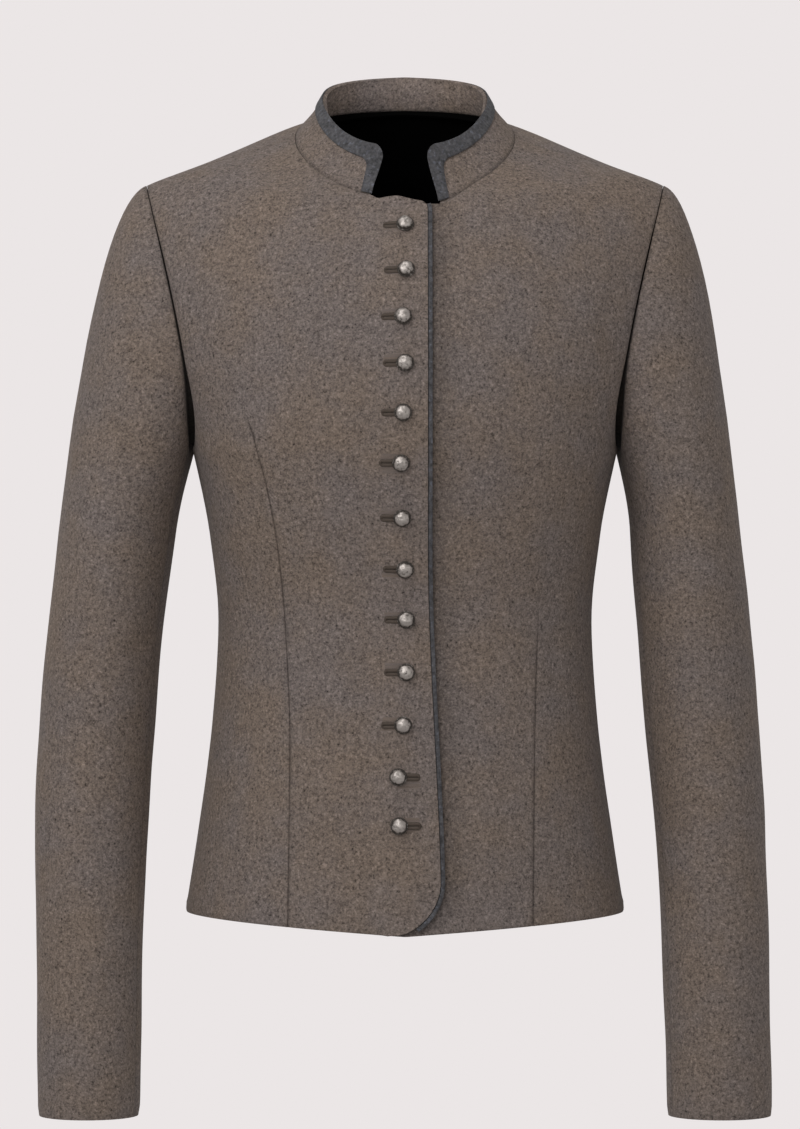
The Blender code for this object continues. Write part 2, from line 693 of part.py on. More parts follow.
def make_jacket():
    clear_scene()
    parts = new_collection("trachten_jacket")
    cutters = new_collection("cutters")
    wool = material("melange_wool", (0.15, 0.12, 0.10), 0.95)
    felt = material("slate_felt", (0.08, 0.08, 0.09), 0.95)
    silver = material("old_silver", (0.42, 0.40, 0.37), 0.38, 1.0)
    front, back, up = Vector((0, -1, 0)), Vector((0, 1, 0)), Vector((0, 0, 1))

    front_steps = (7, 2, 2, 2, 2, 3, 2, 1, 2, 4, 1, 3, 3, 3)
    places = torso_places(front_steps)
    right_rows = front_grid(places, RIGHT, 7, 5)
    right = cloth("front_right", right_rows, CLOTH_WALL, parts, wool, front)
    cloth("front_left", front_grid(places, LEFT, 7, 5), CLOTH_WALL, parts, wool, front)
    slits = right.modifiers.new("Buttonholes", "BOOLEAN")
    slits.operation = "DIFFERENCE"
    slits.object = make_slit_cutter(cutters, wool)
    edge_rows = piping_grid(right_rows[PIPING_FIRST_ROW : sum(front_steps[:NECK_SECTION])])
    cloth("front_edge_piping", edge_rows, TRIM_WALL, parts, felt, front)

    back_rows = []
    for place in torso_places((3, 2, 2, 2, 2, 3, 2, 1, 1, 2, 2, 4, 4, 4)):
        curve = TorsoCurve(BACK_SECTIONS, place, 1)
        back_rows.append([curve.at(crowded(step / 10)) for step in range(11)])
    cloth("back", back_rows, CLOTH_WALL, parts, wool, back, mirrored=True)

    cap_places = [(step / 8) ** 1.5 for step in range(8)]
    sleeve_places = [*cap_places, *(1 + place for place in spread((2,) * 6))]
    for side, word in ((RIGHT, "right"), (LEFT, "left")):
        outward = Vector((side, 0, 0))
        upper = sleeve_grid(sleeve_places, side, SLEEVE_FRONT_SEAM, 360 + SLEEVE_BACK_SEAM, 13)
        under = sleeve_grid(sleeve_places, side, SLEEVE_BACK_SEAM, SLEEVE_FRONT_SEAM, 7)
        cloth(f"sleeve_upper_{word}", upper, CLOTH_WALL, parts, wool, outward)
        cloth(f"sleeve_under_{word}", under, CLOTH_WALL, parts, wool, -outward)

    left = Vector((1, 0, 0))
    cloth("collar", collar_grid(16, 6, 5), COLLAR_WALL, parts, wool, left + up, mirrored=True)
    cloth("collar_band", band_grid(16, 2), TRIM_WALL, parts, felt, left + up, mirrored=True)

    for number, button in enumerate(BUTTONS, start=1):
        make_button(f"button_{number:02d}", button, parts, silver)


make_jacket()
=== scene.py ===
"""Dresses the trachten jacket: felted melange wool, slate felt trim, worked buttonholes and silver buttons.

Every cloth piece is a fine grid on the same form as its solid, so seams meet along the same curves. Metres,
+Z up, +Y towards the back and +X towards the wearer's left.
"""

import math
from collections import namedtuple

import bmesh
import bpy
from bpy.props import FloatProperty, FloatVectorProperty, IntProperty, PointerProperty
from mathutils import Matrix, Vector, noise


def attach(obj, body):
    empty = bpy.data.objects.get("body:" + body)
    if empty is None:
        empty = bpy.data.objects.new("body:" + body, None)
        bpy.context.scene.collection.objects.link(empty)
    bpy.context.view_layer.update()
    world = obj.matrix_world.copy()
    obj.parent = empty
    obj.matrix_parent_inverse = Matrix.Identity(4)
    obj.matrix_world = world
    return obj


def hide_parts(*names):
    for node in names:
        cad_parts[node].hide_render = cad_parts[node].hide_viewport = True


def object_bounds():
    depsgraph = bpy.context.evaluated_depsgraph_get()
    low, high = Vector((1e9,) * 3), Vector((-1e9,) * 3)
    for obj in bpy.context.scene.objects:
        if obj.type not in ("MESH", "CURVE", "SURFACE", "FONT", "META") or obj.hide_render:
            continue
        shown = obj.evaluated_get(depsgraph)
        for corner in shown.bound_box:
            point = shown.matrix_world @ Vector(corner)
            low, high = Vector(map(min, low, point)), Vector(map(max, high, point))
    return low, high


bl_info = {
    "name": "Trachten jacket",
    "version": (1, 0, 0),
    "blender": (4, 5, 0),
    "location": "View3D > Sidebar > Jacket",
    "description": "A fitted wool jacket with a stand collar, felt trim and domed buttons",
    "category": "Object",
}

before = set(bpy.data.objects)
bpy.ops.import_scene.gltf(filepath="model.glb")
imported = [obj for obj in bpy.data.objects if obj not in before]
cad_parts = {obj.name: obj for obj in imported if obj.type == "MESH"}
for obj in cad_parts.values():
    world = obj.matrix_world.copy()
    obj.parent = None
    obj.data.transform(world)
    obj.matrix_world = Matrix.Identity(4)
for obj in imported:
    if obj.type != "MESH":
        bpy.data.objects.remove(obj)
CAD_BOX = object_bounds()

# Cloth
CLOTH_WALL = 0.0020
COLLAR_WALL = 0.0026
TRIM_WALL = 0.0010
SEAM_GAP = 0.0003
ARMHOLE_GAP = 0.0006
COLLAR_GAP = 0.0008
BAND_GAP = 0.0004

# Neck ring, where the collar is sewn on
NECK_HALF_WIDTH = 0.080
NECK_FRONT_DEPTH = 0.0765
NECK_BACK_DEPTH = 0.062
NECK_FRONT_Z = -0.054
NECK_SIDE_Z = -0.004
NECK_BACK_Z = 0.019

# Side seam, armhole and shoulder
SEAM_Y = 0.002
SHOULDER_X = 0.187
SHOULDER_Z = -0.0395
SHOULDER_SLOPE = 0.46
NECK_SLOPE = 0.42
UNDERARM_X = 0.1540
UNDERARM_Z = -0.231
ARMHOLE_FRONT_DEPTH = 0.056
ARMHOLE_BACK_DEPTH = 0.060
ARMHOLE_FRONT_SCOOP = 0.25
ARMHOLE_BACK_SCOOP = 0.10
ARMHOLE_FRONT_BEND = 1.4
ARMHOLE_BACK_BEND = 1.2
ARMHOLE_FRONT_HOLLOW = 0.004
ARMHOLE_BACK_HOLLOW = 0.009

# Front closing: the wearer's right front lies over the left
LAP_LIFT = 0.0033
OVERLAP_START_X, OVERLAP_RAMP = -0.030, 0.026
UNDERLAP_START_X, UNDERLAP_RAMP = 0.012, 0.024
UNDERLAP_REACH = 0.022
FRONT_EDGE_TOP_X = 0.0160
FRONT_EDGE_HEM_X = 0.0255
FRONT_EDGE_BEND_Z = -0.300
HEM_CORNER_RADIUS = 0.038
NECK_CORNER_RADIUS = 0.009
UNDERLAP_CORNER_RADIUS = 0.022
SIDE_CORNER_RADIUS = 0.006
# Painted shadow of the right front's edge on the left front: how dark, and how far it reaches.
LAP_SHADE, LAP_SHADE_WIDTH = 0.7, 0.026
PIPING_WIDTH = 0.0032
PIPING_SINK = 0.0006
PIPING_FIRST_Z = -0.570
PIPING_LAST_Z = -0.0572
# Across the piping, a folded strip: shares of its width, and how far it swells there
PIPING_SWELL = ((0.0, 0.0), (0.25, 0.00022), (0.55, 0.00030), (0.85, 0.00012), (1.0, -0.00015))

# Front dart, from the hem to the bust. Above the waist the left one is pressed so flat, and its painted shade
# is so faint, that it hardly shows.
DART_TOP_Z = -0.203
DART_FADE = 0.020
LEFT_DART_SHOWS_Z, LEFT_DART_RAMP = -0.352, 0.010
LEFT_DART_FLAT = 0.2

# Stand collar and its felt band. Starts and ends are lengths along the neck seam from the centre front.
COLLAR_HEIGHT = 0.040
COLLAR_BACK_SHARE = 0.64
COLLAR_FRONT_LEAN = math.radians(16)
COLLAR_SIDE_LEAN = math.radians(40)
COLLAR_BACK_LEAN = math.radians(20)
COLLAR_HOLLOW = 0.0012
COLLAR_FRONT_BASE = 0.0240
COLLAR_FRONT_TOP = 0.0178
COLLAR_CORNER_RADIUS = 0.0095
COLLAR_RIM_INSET = 0.0028
COLLAR_FOOT_X = 0.0247
# Painted shade on the turned-in row just below the neck seam, seen through the seam's gap.
COLLAR_FOOT_SHADE = 0.8
# Rows turned in below the neck seam: heights on the collar, and how far out from its face
COLLAR_TURN_IN = ((-0.0050, -0.0052), (-0.0026, -0.0030), (-0.0010, -0.0006))
COLLAR_BACK_START, COLLAR_BACK_RAMP = 0.140, 0.040
COLLAR_BACK_FOOT_DROP = 0.0012
COLLAR_BACK_FOOT_LIFT = 0.0018
BAND_WIDTH = 0.0128
BAND_FRONT_INNER = 0.0325
BAND_CORNER_RADIUS = 0.007
BAND_FRONT_START = 0.050
BAND_BOUND_END, BAND_BOUND_RAMP = 0.095, 0.040
BAND_BACK_DROP = 0.0012
BAND_FRONT_STEPS, BAND_CORNER_STEPS, BAND_TOP_STEPS = 8, 9, 6

# The collar's left end hangs below its form, and the front that it is sewn to hangs with it.
LEFT_END_REACH = 0.030
LEFT_END_LOW_Z = -0.090
COLLAR_END_DROP, COLLAR_END_FADE = 0.0054, 0.034
FRONT_TOP_DROP, FRONT_TOP_FADE = 0.0023, 0.020
FRONT_TOP_MORE, FRONT_TOP_NEAR = 0.0031, 0.0052

# Domed metal buttons and their buttonholes
BUTTON_RADIUS = 0.0063
BUTTON_DOME = 0.0044
BUTTON_RIM = 0.0010
BUTTON_LIFT = 0.0008
DOME_RADIUS_SHARE, DOME_SINK_SHARE = 0.90, 0.96
DOME_DEGREES, DOME_STEPS = 86, 16
HAMMER_SCALE = 460
# The dark round the rim starts at a share of the radius. Tarnish is 1 where the silver is darkest.
RIM_START, RIM_RAMP = 0.68, 0.20
RIM_TARNISH, HOLLOW_TARNISH = 0.78, 0.6
SHANK_GAP = 0.0006
SHANK_RADIUS = 0.0008
SLIT_LONG = 0.0150
SLIT_SHORT = 0.0018
SLIT_MARGIN = 0.002
STITCH_LIP, STITCH_REACH = 0.0001, 0.0027
STITCH_THICKNESS = 0.0002
STITCH_LIFT, STITCH_CROWN = 0.0003, 0.00070

# Two-piece sleeve
SLEEVE_FRONT_SEAM = 22.0
SLEEVE_BACK_SEAM = -104.0
CAP_OUT_HANDLE = 0.030
CAP_UNDER_HANDLE = 0.018
CAP_OUT_LANDING = 0.110
CAP_UNDER_LANDING = 0.020
CAP_FRONT_SWELL = 0.25
CAP_OUT_HEADING = Vector((0.94, 0, -0.34))
CAP_UNDER_HEADING = Vector((0.20, 0, -0.98))
SLEEVE_RADIUS = 0.042

RIGHT, LEFT = -1, 1
SIDE_WORDS = {RIGHT: "right", LEFT: "left"}

# A torso section starts on the centre line or on the neck ring, and ends on the side seam or on the armhole.
# neck_turn and arm_turn are degrees along those rings, and 0 where the section starts or ends below them.
# end_turn is the way the cloth heads at its end: 90 is straight back, 0 straight out.
Section = namedtuple(
    "Section",
    "level centre_depth centre_z neck_turn side_x side_z arm_turn end_turn centre_fullness side_fullness",
)
FRONT_SECTIONS = (
    Section("hem", 0.1180, -0.5765, 0, 0.1590, -0.565, 0, 90, 0.62, 0.60),
    Section("low hip", 0.1130, -0.512, 0, 0.1500, -0.507, 0, 90, 0.62, 0.60),
    Section("high hip", 0.1070, -0.432, 0, 0.1398, -0.430, 0, 90, 0.62, 0.60),
    Section("waist", 0.1040, -0.356, 0, 0.1353, -0.356, 0, 90, 0.61, 0.60),
    Section("ribs", 0.1125, -0.292, 0, 0.1415, -0.292, 0, 90, 0.66, 0.62),
    Section("underarm", 0.1210, -0.231, 0, 0.1540, -0.231, 0, 90, 0.71, 0.65),
    Section("bust", 0.1225, -0.206, 0, 0.1540, -0.231, 25, 81, 0.63, 0.53),
    Section("low armhole", 0.1200, -0.174, 0, 0.1540, -0.231, 48, 71, 0.55, 0.43),
    Section("mid armhole", 0.1120, -0.135, 0, 0.1540, -0.231, 72, 58, 0.50, 0.38),
    Section("chest", 0.0960, -0.092, 0, 0.1540, -0.231, 95, 46, 0.46, 0.36),
    Section("neck", 0.0745, -0.054, 0, 0.1540, -0.231, 116, 37, 0.42, 0.35),
    Section("collar end", 0.0745, -0.054, 18, 0.1540, -0.231, 131, 29, 0.38, 0.34),
    Section("collar front", 0.0745, -0.054, 42, 0.1540, -0.231, 147, 21, 0.36, 0.35),
    Section("collar side", 0.0745, -0.054, 68, 0.1540, -0.231, 164, 11, 0.34, 0.34),
    Section("shoulder", 0.0745, -0.054, 90, 0.1540, -0.231, 180, 0, 0.33, 0.33),
)
BACK_SECTIONS = (
    Section("hem", 0.1220, -0.565, 0, 0.1590, -0.565, 0, 90, 0.60, 0.58),
    Section("low hip", 0.1160, -0.507, 0, 0.1500, -0.507, 0, 90, 0.60, 0.58),
    Section("high hip", 0.1010, -0.430, 0, 0.1398, -0.430, 0, 90, 0.60, 0.58),
    Section("waist", 0.0870, -0.356, 0, 0.1353, -0.356, 0, 90, 0.60, 0.58),
    Section("ribs", 0.0940, -0.292, 0, 0.1415, -0.292, 0, 90, 0.63, 0.61),
    Section("underarm", 0.1030, -0.231, 0, 0.1540, -0.231, 0, 90, 0.68, 0.65),
    Section("low blade", 0.1065, -0.194, 0, 0.1540, -0.231, 25, 75, 0.58, 0.44),
    Section("blade", 0.1075, -0.150, 0, 0.1540, -0.231, 48, 60, 0.49, 0.33),
    Section("mid armhole", 0.1045, -0.105, 0, 0.1540, -0.231, 72, 50, 0.44, 0.32),
    Section("upper back", 0.0960, -0.056, 0, 0.1540, -0.231, 96, 41, 0.42, 0.33),
    Section("yoke", 0.0820, -0.014, 0, 0.1540, -0.231, 120, 32, 0.40, 0.34),
    Section("neck", 0.0640, 0.019, 0, 0.1540, -0.231, 140, 24, 0.37, 0.34),
    Section("neck half", 0.0640, 0.019, 35, 0.1540, -0.231, 156, 16, 0.35, 0.34),
    Section("neck side", 0.0640, 0.019, 65, 0.1540, -0.231, 169, 8, 0.34, 0.34),
    Section("shoulder", 0.0640, 0.019, 90, 0.1540, -0.231, 180, 0, 0.33, 0.33),
)
NECK_SECTION = [section.level for section in FRONT_SECTIONS].index("neck")

# The free top edge of the right front, from the collar's foot to the front edge, against its form
TopEdge = namedtuple("TopEdge", "x rise")
TOP_EDGE = (
    TopEdge(-0.0330, 0.0),
    TopEdge(-0.0247, 0.0030),
    TopEdge(-0.0185, 0.0002),
    TopEdge(-0.0110, 0.0005),
    TopEdge(-0.0064, 0.0005),
    TopEdge(0.0012, -0.0011),
    TopEdge(0.0087, -0.0026),
    TopEdge(0.0140, -0.0010),
    TopEdge(0.0165, 0.0),
)
TOP_EDGE_FADE = 0.014
TOP_EDGE_FOOT_X, TOP_EDGE_FOOT_FADE = -0.020, 0.0042
UP_THE_CHEST = Vector((0, 0.56, 1))

# A sleeve section is a level oval. Outer and inner are its distances from the jacket's middle.
SleeveSection = namedtuple(
    "SleeveSection", "level z right_outer right_inner left_outer left_inner y half_depth",
)
SLEEVE_SECTIONS = (
    SleeveSection("cap base", -0.290, 0.2510, 0.1660, 0.2430, 0.1630, 0.002, 0.0605),
    SleeveSection("upper arm", -0.360, 0.2586, 0.1753, 0.2506, 0.1680, -0.001, 0.0565),
    SleeveSection("elbow", -0.430, 0.2648, 0.1808, 0.2562, 0.1738, -0.004, 0.0530),
    SleeveSection("below elbow", -0.500, 0.2675, 0.1856, 0.2603, 0.1805, -0.010, 0.0495),
    SleeveSection("forearm", -0.580, 0.2660, 0.1890, 0.2622, 0.1850, -0.019, 0.0460),
    SleeveSection("wrist", -0.650, 0.2650, 0.1898, 0.2630, 0.1872, -0.027, 0.0430),
    SleeveSection("cuff", -0.710, 0.2638, 0.1910, 0.2638, 0.1885, -0.033, 0.0410),
)

# The dart's distance from the jacket's middle, on each front
DartPoint = namedtuple("DartPoint", "z right_x left_x")
DART_POINTS = (
    DartPoint(-0.5765, 0.0830, 0.0905),
    DartPoint(-0.440, 0.0815, 0.0920),
    DartPoint(-0.356, 0.0850, 0.0945),
    DartPoint(-0.300, 0.0905, 0.0985),
    DartPoint(-0.250, 0.1000, 0.1050),
    DartPoint(DART_TOP_Z, 0.1150, 0.1180),
    DartPoint(-0.120, 0.1300, 0.1300),
    DartPoint(-0.020, 0.1330, 0.1330),
)

# Across a sewn dart: how far from its line, and the share of its full depth
DartStep = namedtuple("DartStep", "offset share")
DART_STEPS = (
    DartStep(-0.0032, 0.0),
    DartStep(-0.0018, 0.08),
    DartStep(-0.0008, 0.30),
    DartStep(-0.0003, 0.72),
    DartStep(0.0, 1.0),
    DartStep(0.0003, 0.72),
    DartStep(0.0008, 0.30),
    DartStep(0.0018, 0.08),
    DartStep(0.0032, 0.0),
)

# Each button, from the neck down: its height, how far it sits from the middle, and the side its slit runs to
Button = namedtuple("Button", "z x slit_side")
BUTTONS = (
    Button(-0.0748, 0.0000, RIGHT),
    Button(-0.1072, 0.0007, RIGHT),
    Button(-0.1403, -0.0014, RIGHT),
    Button(-0.1730, 0.0000, RIGHT),
    Button(-0.2075, -0.0014, RIGHT),
    Button(-0.2426, -0.0028, RIGHT),
    Button(-0.2812, -0.0021, RIGHT),
    Button(-0.3172, 0.0000, RIGHT),
    Button(-0.3532, 0.0007, RIGHT),
    Button(-0.3906, 0.0007, RIGHT),
    Button(-0.4279, -0.0014, RIGHT),
    Button(-0.4645, -0.0049, LEFT),
    Button(-0.4988, -0.0042, LEFT),
)

# Soft creases. On the torso, start and end are distances from the middle and heights. On a sleeve they are
# degrees round the arm, from the inner side towards the front, and heights. A ridge has a negative depth.
Crease = namedtuple("Crease", "start_u start_z end_u end_z depth half_width")
CREASES = {
    "front_right": (
        Crease(-0.147, -0.115, -0.141, -0.190, 0.0012, 0.0090),
        Crease(-0.120, -0.196, -0.142, -0.224, 0.0008, 0.0070),
        Crease(-0.132, -0.338, -0.092, -0.349, 0.0009, 0.0055),
        Crease(-0.131, -0.366, -0.103, -0.362, 0.0007, 0.0045),
        Crease(-0.062, -0.300, -0.030, -0.312, 0.0005, 0.0080),
        Crease(-0.064, -0.470, -0.052, -0.545, -0.0009, 0.0110),
    ),
    "front_left": (
        Crease(0.148, -0.118, 0.143, -0.186, 0.0011, 0.0085),
        Crease(0.122, -0.200, 0.143, -0.229, 0.0007, 0.0065),
        Crease(0.1070, -0.358, 0.1058, -0.408, 0.0011, 0.0030),
        Crease(0.131, -0.347, 0.112, -0.352, 0.0008, 0.0050),
        Crease(0.058, -0.455, 0.066, -0.548, -0.0010, 0.0120),
    ),
    "back": (
        Crease(-0.128, -0.340, -0.070, -0.352, 0.0012, 0.0060),
        Crease(0.129, -0.344, 0.082, -0.354, 0.0011, 0.0060),
        Crease(-0.118, -0.372, -0.064, -0.366, 0.0008, 0.0050),
        Crease(0.060, -0.374, 0.112, -0.378, 0.0007, 0.0050),
        Crease(-0.146, -0.110, -0.137, -0.205, 0.0013, 0.0100),
        Crease(0.147, -0.118, 0.139, -0.198, 0.0012, 0.0100),
        Crease(-0.030, -0.440, -0.036, -0.552, -0.0011, 0.0140),
        Crease(0.046, -0.452, 0.050, -0.550, -0.0009, 0.0120),
    ),
    "sleeve_right": (
        Crease(24, -0.362, 78, -0.384, 0.0014, 0.0060),
        Crease(20, -0.405, 64, -0.396, 0.0010, 0.0050),
        Crease(28, -0.425, 92, -0.452, 0.0008, 0.0065),
        Crease(25, -0.556, 107, -0.584, 0.0011, 0.0075),
        Crease(250, -0.392, 310, -0.420, 0.0012, 0.0065),
        Crease(262, -0.446, 318, -0.440, 0.0009, 0.0055),
        Crease(120, -0.215, 96, -0.290, 0.0009, 0.0110),
    ),
    "sleeve_left": (
        Crease(24, -0.372, 70, -0.392, 0.0013, 0.0058),
        Crease(18, -0.412, 74, -0.418, 0.0010, 0.0050),
        Crease(30, -0.500, 84, -0.520, 0.0008, 0.0070),
        Crease(44, -0.612, 112, -0.604, 0.0009, 0.0065),
        Crease(248, -0.398, 306, -0.414, 0.0012, 0.0065),
        Crease(256, -0.458, 316, -0.446, 0.0009, 0.0055),
        Crease(118, -0.220, 92, -0.300, 0.0009, 0.0110),
    ),
}
# A crease runs past its ends by a share of its length, fades over another and reaches so many half-widths.
CREASE_OVERRUN, CREASE_FADE, CREASE_REACH = 0.2, 0.55, 2.5

# Steps of the grids. A torso piece has this many rows in each interval between its sections.
FRONT_ROWS = (16, 8, 8, 8, 8, 6, 6, 5, 7, 12, 6, 9, 9, 9)
EDGE_COLUMNS, INNER_COLUMNS, OUTER_COLUMNS = 24, 36, 30
PIPING_ROWS = (20, 10, 10, 10, 10, 10, 6, 5, 7, 14)
BACK_ROWS = (10, 8, 8, 8, 8, 6, 6, 6, 6, 6, 8, 6, 9, 9)
BACK_COLUMNS = 44
CAP_ROWS, SLEEVE_ROWS = 22, (9, 9, 9, 9, 9, 9)
UPPER_COLUMNS, UNDER_COLUMNS = 52, 30
COLLAR_ROWS, COLLAR_FRONT_STEPS, COLLAR_STEPS = 18, 20, 80
BAND_ROWS = 6
STITCH_STEPS, STITCH_ROWS = 4, 8
# Rows and columns crowd together towards these edges. The first row past a corner keeps clear of it.
HEM_CROWDING, NECK_CROWDING, SIDE_CROWDING, CAP_CROWDING = 2, 1.8, 1.3, 1.4
FIRST_ROW_SHARE = 0.35

# The cloth near a seam lies calm, and is painted a little darker there: painted shade in the seam.
CALM_WIDTH = 0.012
SEAM_SHADE_WIDTH = 0.0026
# Painted shade: rows out of sight, such as a sleeve's seam allowance, are painted near-black.
HIDDEN_SHADE = 2.0
UNEVEN_SCALE = 21.0
CLOTH_WELD, STITCH_WELD, BUTTON_WELD = 0.00002, 0.00001, 0.000005


# Curves

def smooth(share):
    """An S-shaped step from 0 to 1."""
    share = min(1.0, max(0.0, share))
    return share * share * (3 - 2 * share)


def mixed(first, second, share):
    return first + (second - first) * share


def crowded(count):
    """Shares from 0 to 1 in this many steps, closest together at the end."""
    return [1 - (1 - step / count) ** SIDE_CROWDING for step in range(count + 1)]


def mirrored(point, side):
    """A point of the wearer's left, carried over to a side."""
    return Vector((side * point.x, point.y, point.z))


def running_lengths(points):
    """How far along a row of points each of them lies."""
    lengths = [0.0]
    for before, after in zip(points, points[1:]):
        lengths.append(lengths[-1] + (after - before).length)
    return lengths


def slope_at(values, index):
    """A slope at one of a row of values that keeps the curve from overshooting them."""
    before = values[index] - values[index - 1] if index else 0.0
    after = values[index + 1] - values[index] if index + 1 < len(values) else 0.0
    if before * after <= 0:
        return 0.0 if 0 < index < len(values) - 1 else before + after
    return 2 * before * after / (before + after)


def eased(values, place):
    """A value at a place between the rows of a column, on a smooth curve through them."""
    index = min(int(place), len(values) - 2)
    share = place - index
    start, end = values[index], values[index + 1]
    out_slope, in_slope = slope_at(values, index), slope_at(values, index + 1)
    bulge = (out_slope - (end - start)) * (1 - share) - (in_slope - (end - start)) * share
    return mixed(start, end, share) + share * (1 - share) * bulge


def section_at(sections, place):
    """The section at a place between the rows of a table, as one of its rows."""
    numbers = [eased([row[column] for row in sections], place) for column in range(1, len(sections[0]))]
    return type(sections[0])("between", *numbers)


def place_of(heights, z):
    """The place in a table where its column of heights, rising or falling, reaches z."""
    for index in range(len(heights) - 1):
        low, high = sorted(heights[index : index + 2])
        if low <= z <= high:
            return index + (z - heights[index]) / (heights[index + 1] - heights[index])
    return 0.0 if abs(z - heights[0]) < abs(z - heights[-1]) else len(heights) - 1.0


def cubic(points, share):
    p0, p1, p2, p3 = points
    rest = 1 - share
    return p0 * rest**3 + p1 * (3 * rest**2 * share) + p2 * (3 * rest * share**2) + p3 * share**3


def solved(function, target, low, high, steps=32):
    """Where a rising function reaches a target."""
    for _ in range(steps):
        middle = (low + high) / 2
        low, high = (middle, high) if function(middle) < target else (low, middle)
    return (low + high) / 2


def corner_inset(gap, radius):
    """How far a round corner cuts into an edge, this far from the corner's end."""
    if gap >= radius:
        return 0.0
    return radius - math.sqrt(max(0.0, radius**2 - (radius - gap) ** 2))


def spread(counts):
    """Places in a table of sections, with this many steps in each of its intervals."""
    places = [index + step / count for index, count in enumerate(counts) for step in range(count)]
    return [*places, float(len(counts))]


# The form: neck ring, armhole and torso sections

def neck_point(turn):
    """A point of the neck ring on the wearer's left. 0 degrees is the centre front, 180 the centre back."""
    angle = math.radians(turn)
    y = -(NECK_FRONT_DEPTH if turn < 90 else NECK_BACK_DEPTH) * math.cos(angle)
    front_rate = (NECK_SIDE_Z - NECK_FRONT_Z) / NECK_FRONT_DEPTH
    back_rate = (NECK_BACK_Z - NECK_SIDE_Z) / NECK_BACK_DEPTH
    bend = (back_rate - front_rate) / (NECK_FRONT_DEPTH + NECK_BACK_DEPTH)
    z = NECK_SIDE_Z + (front_rate + bend * NECK_FRONT_DEPTH) * y + bend * y * y
    return Vector((NECK_HALF_WIDTH * math.sin(angle), SEAM_Y + y, z))


def armhole_point(turn):
    """A point of the armhole on the wearer's left.

    0 degrees is the underarm, 90 the front, 180 the shoulder and 270 the back.
    """
    angle = math.radians(turn)
    front = math.sin(angle) >= 0
    depth = ARMHOLE_FRONT_DEPTH if front else ARMHOLE_BACK_DEPTH
    scoop = ARMHOLE_FRONT_SCOOP if front else ARMHOLE_BACK_SCOOP
    bend = ARMHOLE_FRONT_BEND if front else ARMHOLE_BACK_BEND
    hollow = ARMHOLE_FRONT_HOLLOW if front else ARMHOLE_BACK_HOLLOW
    climb = (1 - math.cos(angle)) / 2
    return Vector((
        mixed(UNDERARM_X, SHOULDER_X, climb**bend) - hollow * abs(math.sin(angle)) * (1 - climb),
        SEAM_Y - depth * math.sin(angle) * (1 + scoop * math.cos(angle)),
        mixed(UNDERARM_Z, SHOULDER_Z, climb),
    ))


class TorsoCurve:
    """One section of the torso on the wearer's left, as a cubic from the centre line or neck to the side."""

    def __init__(self, sections, place, facing):
        row = section_at(sections, place)
        start = Vector((0, facing * row.centre_depth, row.centre_z))
        if row.neck_turn > 0:
            start = neck_point(row.neck_turn if facing < 0 else 180 - row.neck_turn)
            start.y += facing * SEAM_GAP / 2
        end = Vector((row.side_x, SEAM_Y, row.side_z))
        if row.arm_turn > 0:
            end = armhole_point(row.arm_turn if facing < 0 else 360 - row.arm_turn)
        end.y += facing * SEAM_GAP / 2
        out, back = abs(end.x - start.x), abs(end.y - start.y)
        heading = math.radians(row.end_turn)
        fall = SHOULDER_SLOPE * smooth(row.arm_turn / 180)
        # Below the armhole a section climbs evenly to its end. Above, it leaves the middle level.
        first_fall = (start.z - end.z) / out
        if row.arm_turn:
            first_fall = NECK_SLOPE * math.sin(math.radians(row.neck_turn)) ** 2
        first = Vector((1, 0, -first_fall)) * row.centre_fullness * out
        last = Vector((math.cos(heading), -facing * math.sin(heading), -fall * math.cos(heading)))
        last *= row.side_fullness * (back * math.sin(heading) + out * math.cos(heading))
        self.points = (start, start + first, end - last, end)

    def at(self, share):
        """A point of the section. Below 0 it runs on over the centre line, as a mirror image."""
        point = cubic(self.points, abs(share))
        return point if share >= 0 else mirrored(point, RIGHT)

    def share_at_x(self, x):
        """Where the section is this far from the middle."""
        return math.copysign(solved(lambda share: self.at(share).x, abs(x), 0.0, 1.0), x)


# The fronts

def right_edge_x(z):
    """How far the overlapping front reaches past the middle, with its round corners at the neck and hem."""
    lean = smooth((FRONT_EDGE_BEND_Z - z) / (FRONT_EDGE_BEND_Z - FRONT_SECTIONS[0].centre_z))
    hem_gap = z - FRONT_SECTIONS[0].centre_z
    neck_gap = FRONT_SECTIONS[NECK_SECTION].centre_z - z
    corner = corner_inset(hem_gap, HEM_CORNER_RADIUS) + corner_inset(neck_gap, NECK_CORNER_RADIUS)
    return mixed(FRONT_EDGE_TOP_X, FRONT_EDGE_HEM_X, lean) - corner


def left_edge_x(z):
    """How far the left front runs on under the right, with its corner at the neck rounded off."""
    return UNDERLAP_REACH - corner_inset(FRONT_SECTIONS[NECK_SECTION].centre_z - z, UNDERLAP_CORNER_RADIUS)


def centre_facing(place):
    """The way the form faces on its front centre line."""
    place = min(place, NECK_SECTION - 0.1)
    above = TorsoCurve(FRONT_SECTIONS, place + 0.1, -1).at(0)
    up = above - TorsoCurve(FRONT_SECTIONS, max(0, place - 0.1), -1).at(0)
    return Vector((0, -up.z, up.y)).normalized()


def lapped(point, facing, side):
    """A point of a front, lifted over the other front or tucked under it near the middle."""
    share = smooth((point.x - OVERLAP_START_X) / OVERLAP_RAMP)
    if side == LEFT:
        share = -smooth((UNDERLAP_START_X - point.x) / UNDERLAP_RAMP)
    return point + facing * LAP_LIFT * share


def front_curve_start(curve, place, side):
    """The share of a section where a front's edge cuts it."""
    if place > NECK_SECTION:
        return 0.0
    z = curve.at(0).z
    edge = right_edge_x(z) if side == RIGHT else left_edge_x(z)
    return -curve.share_at_x(edge)


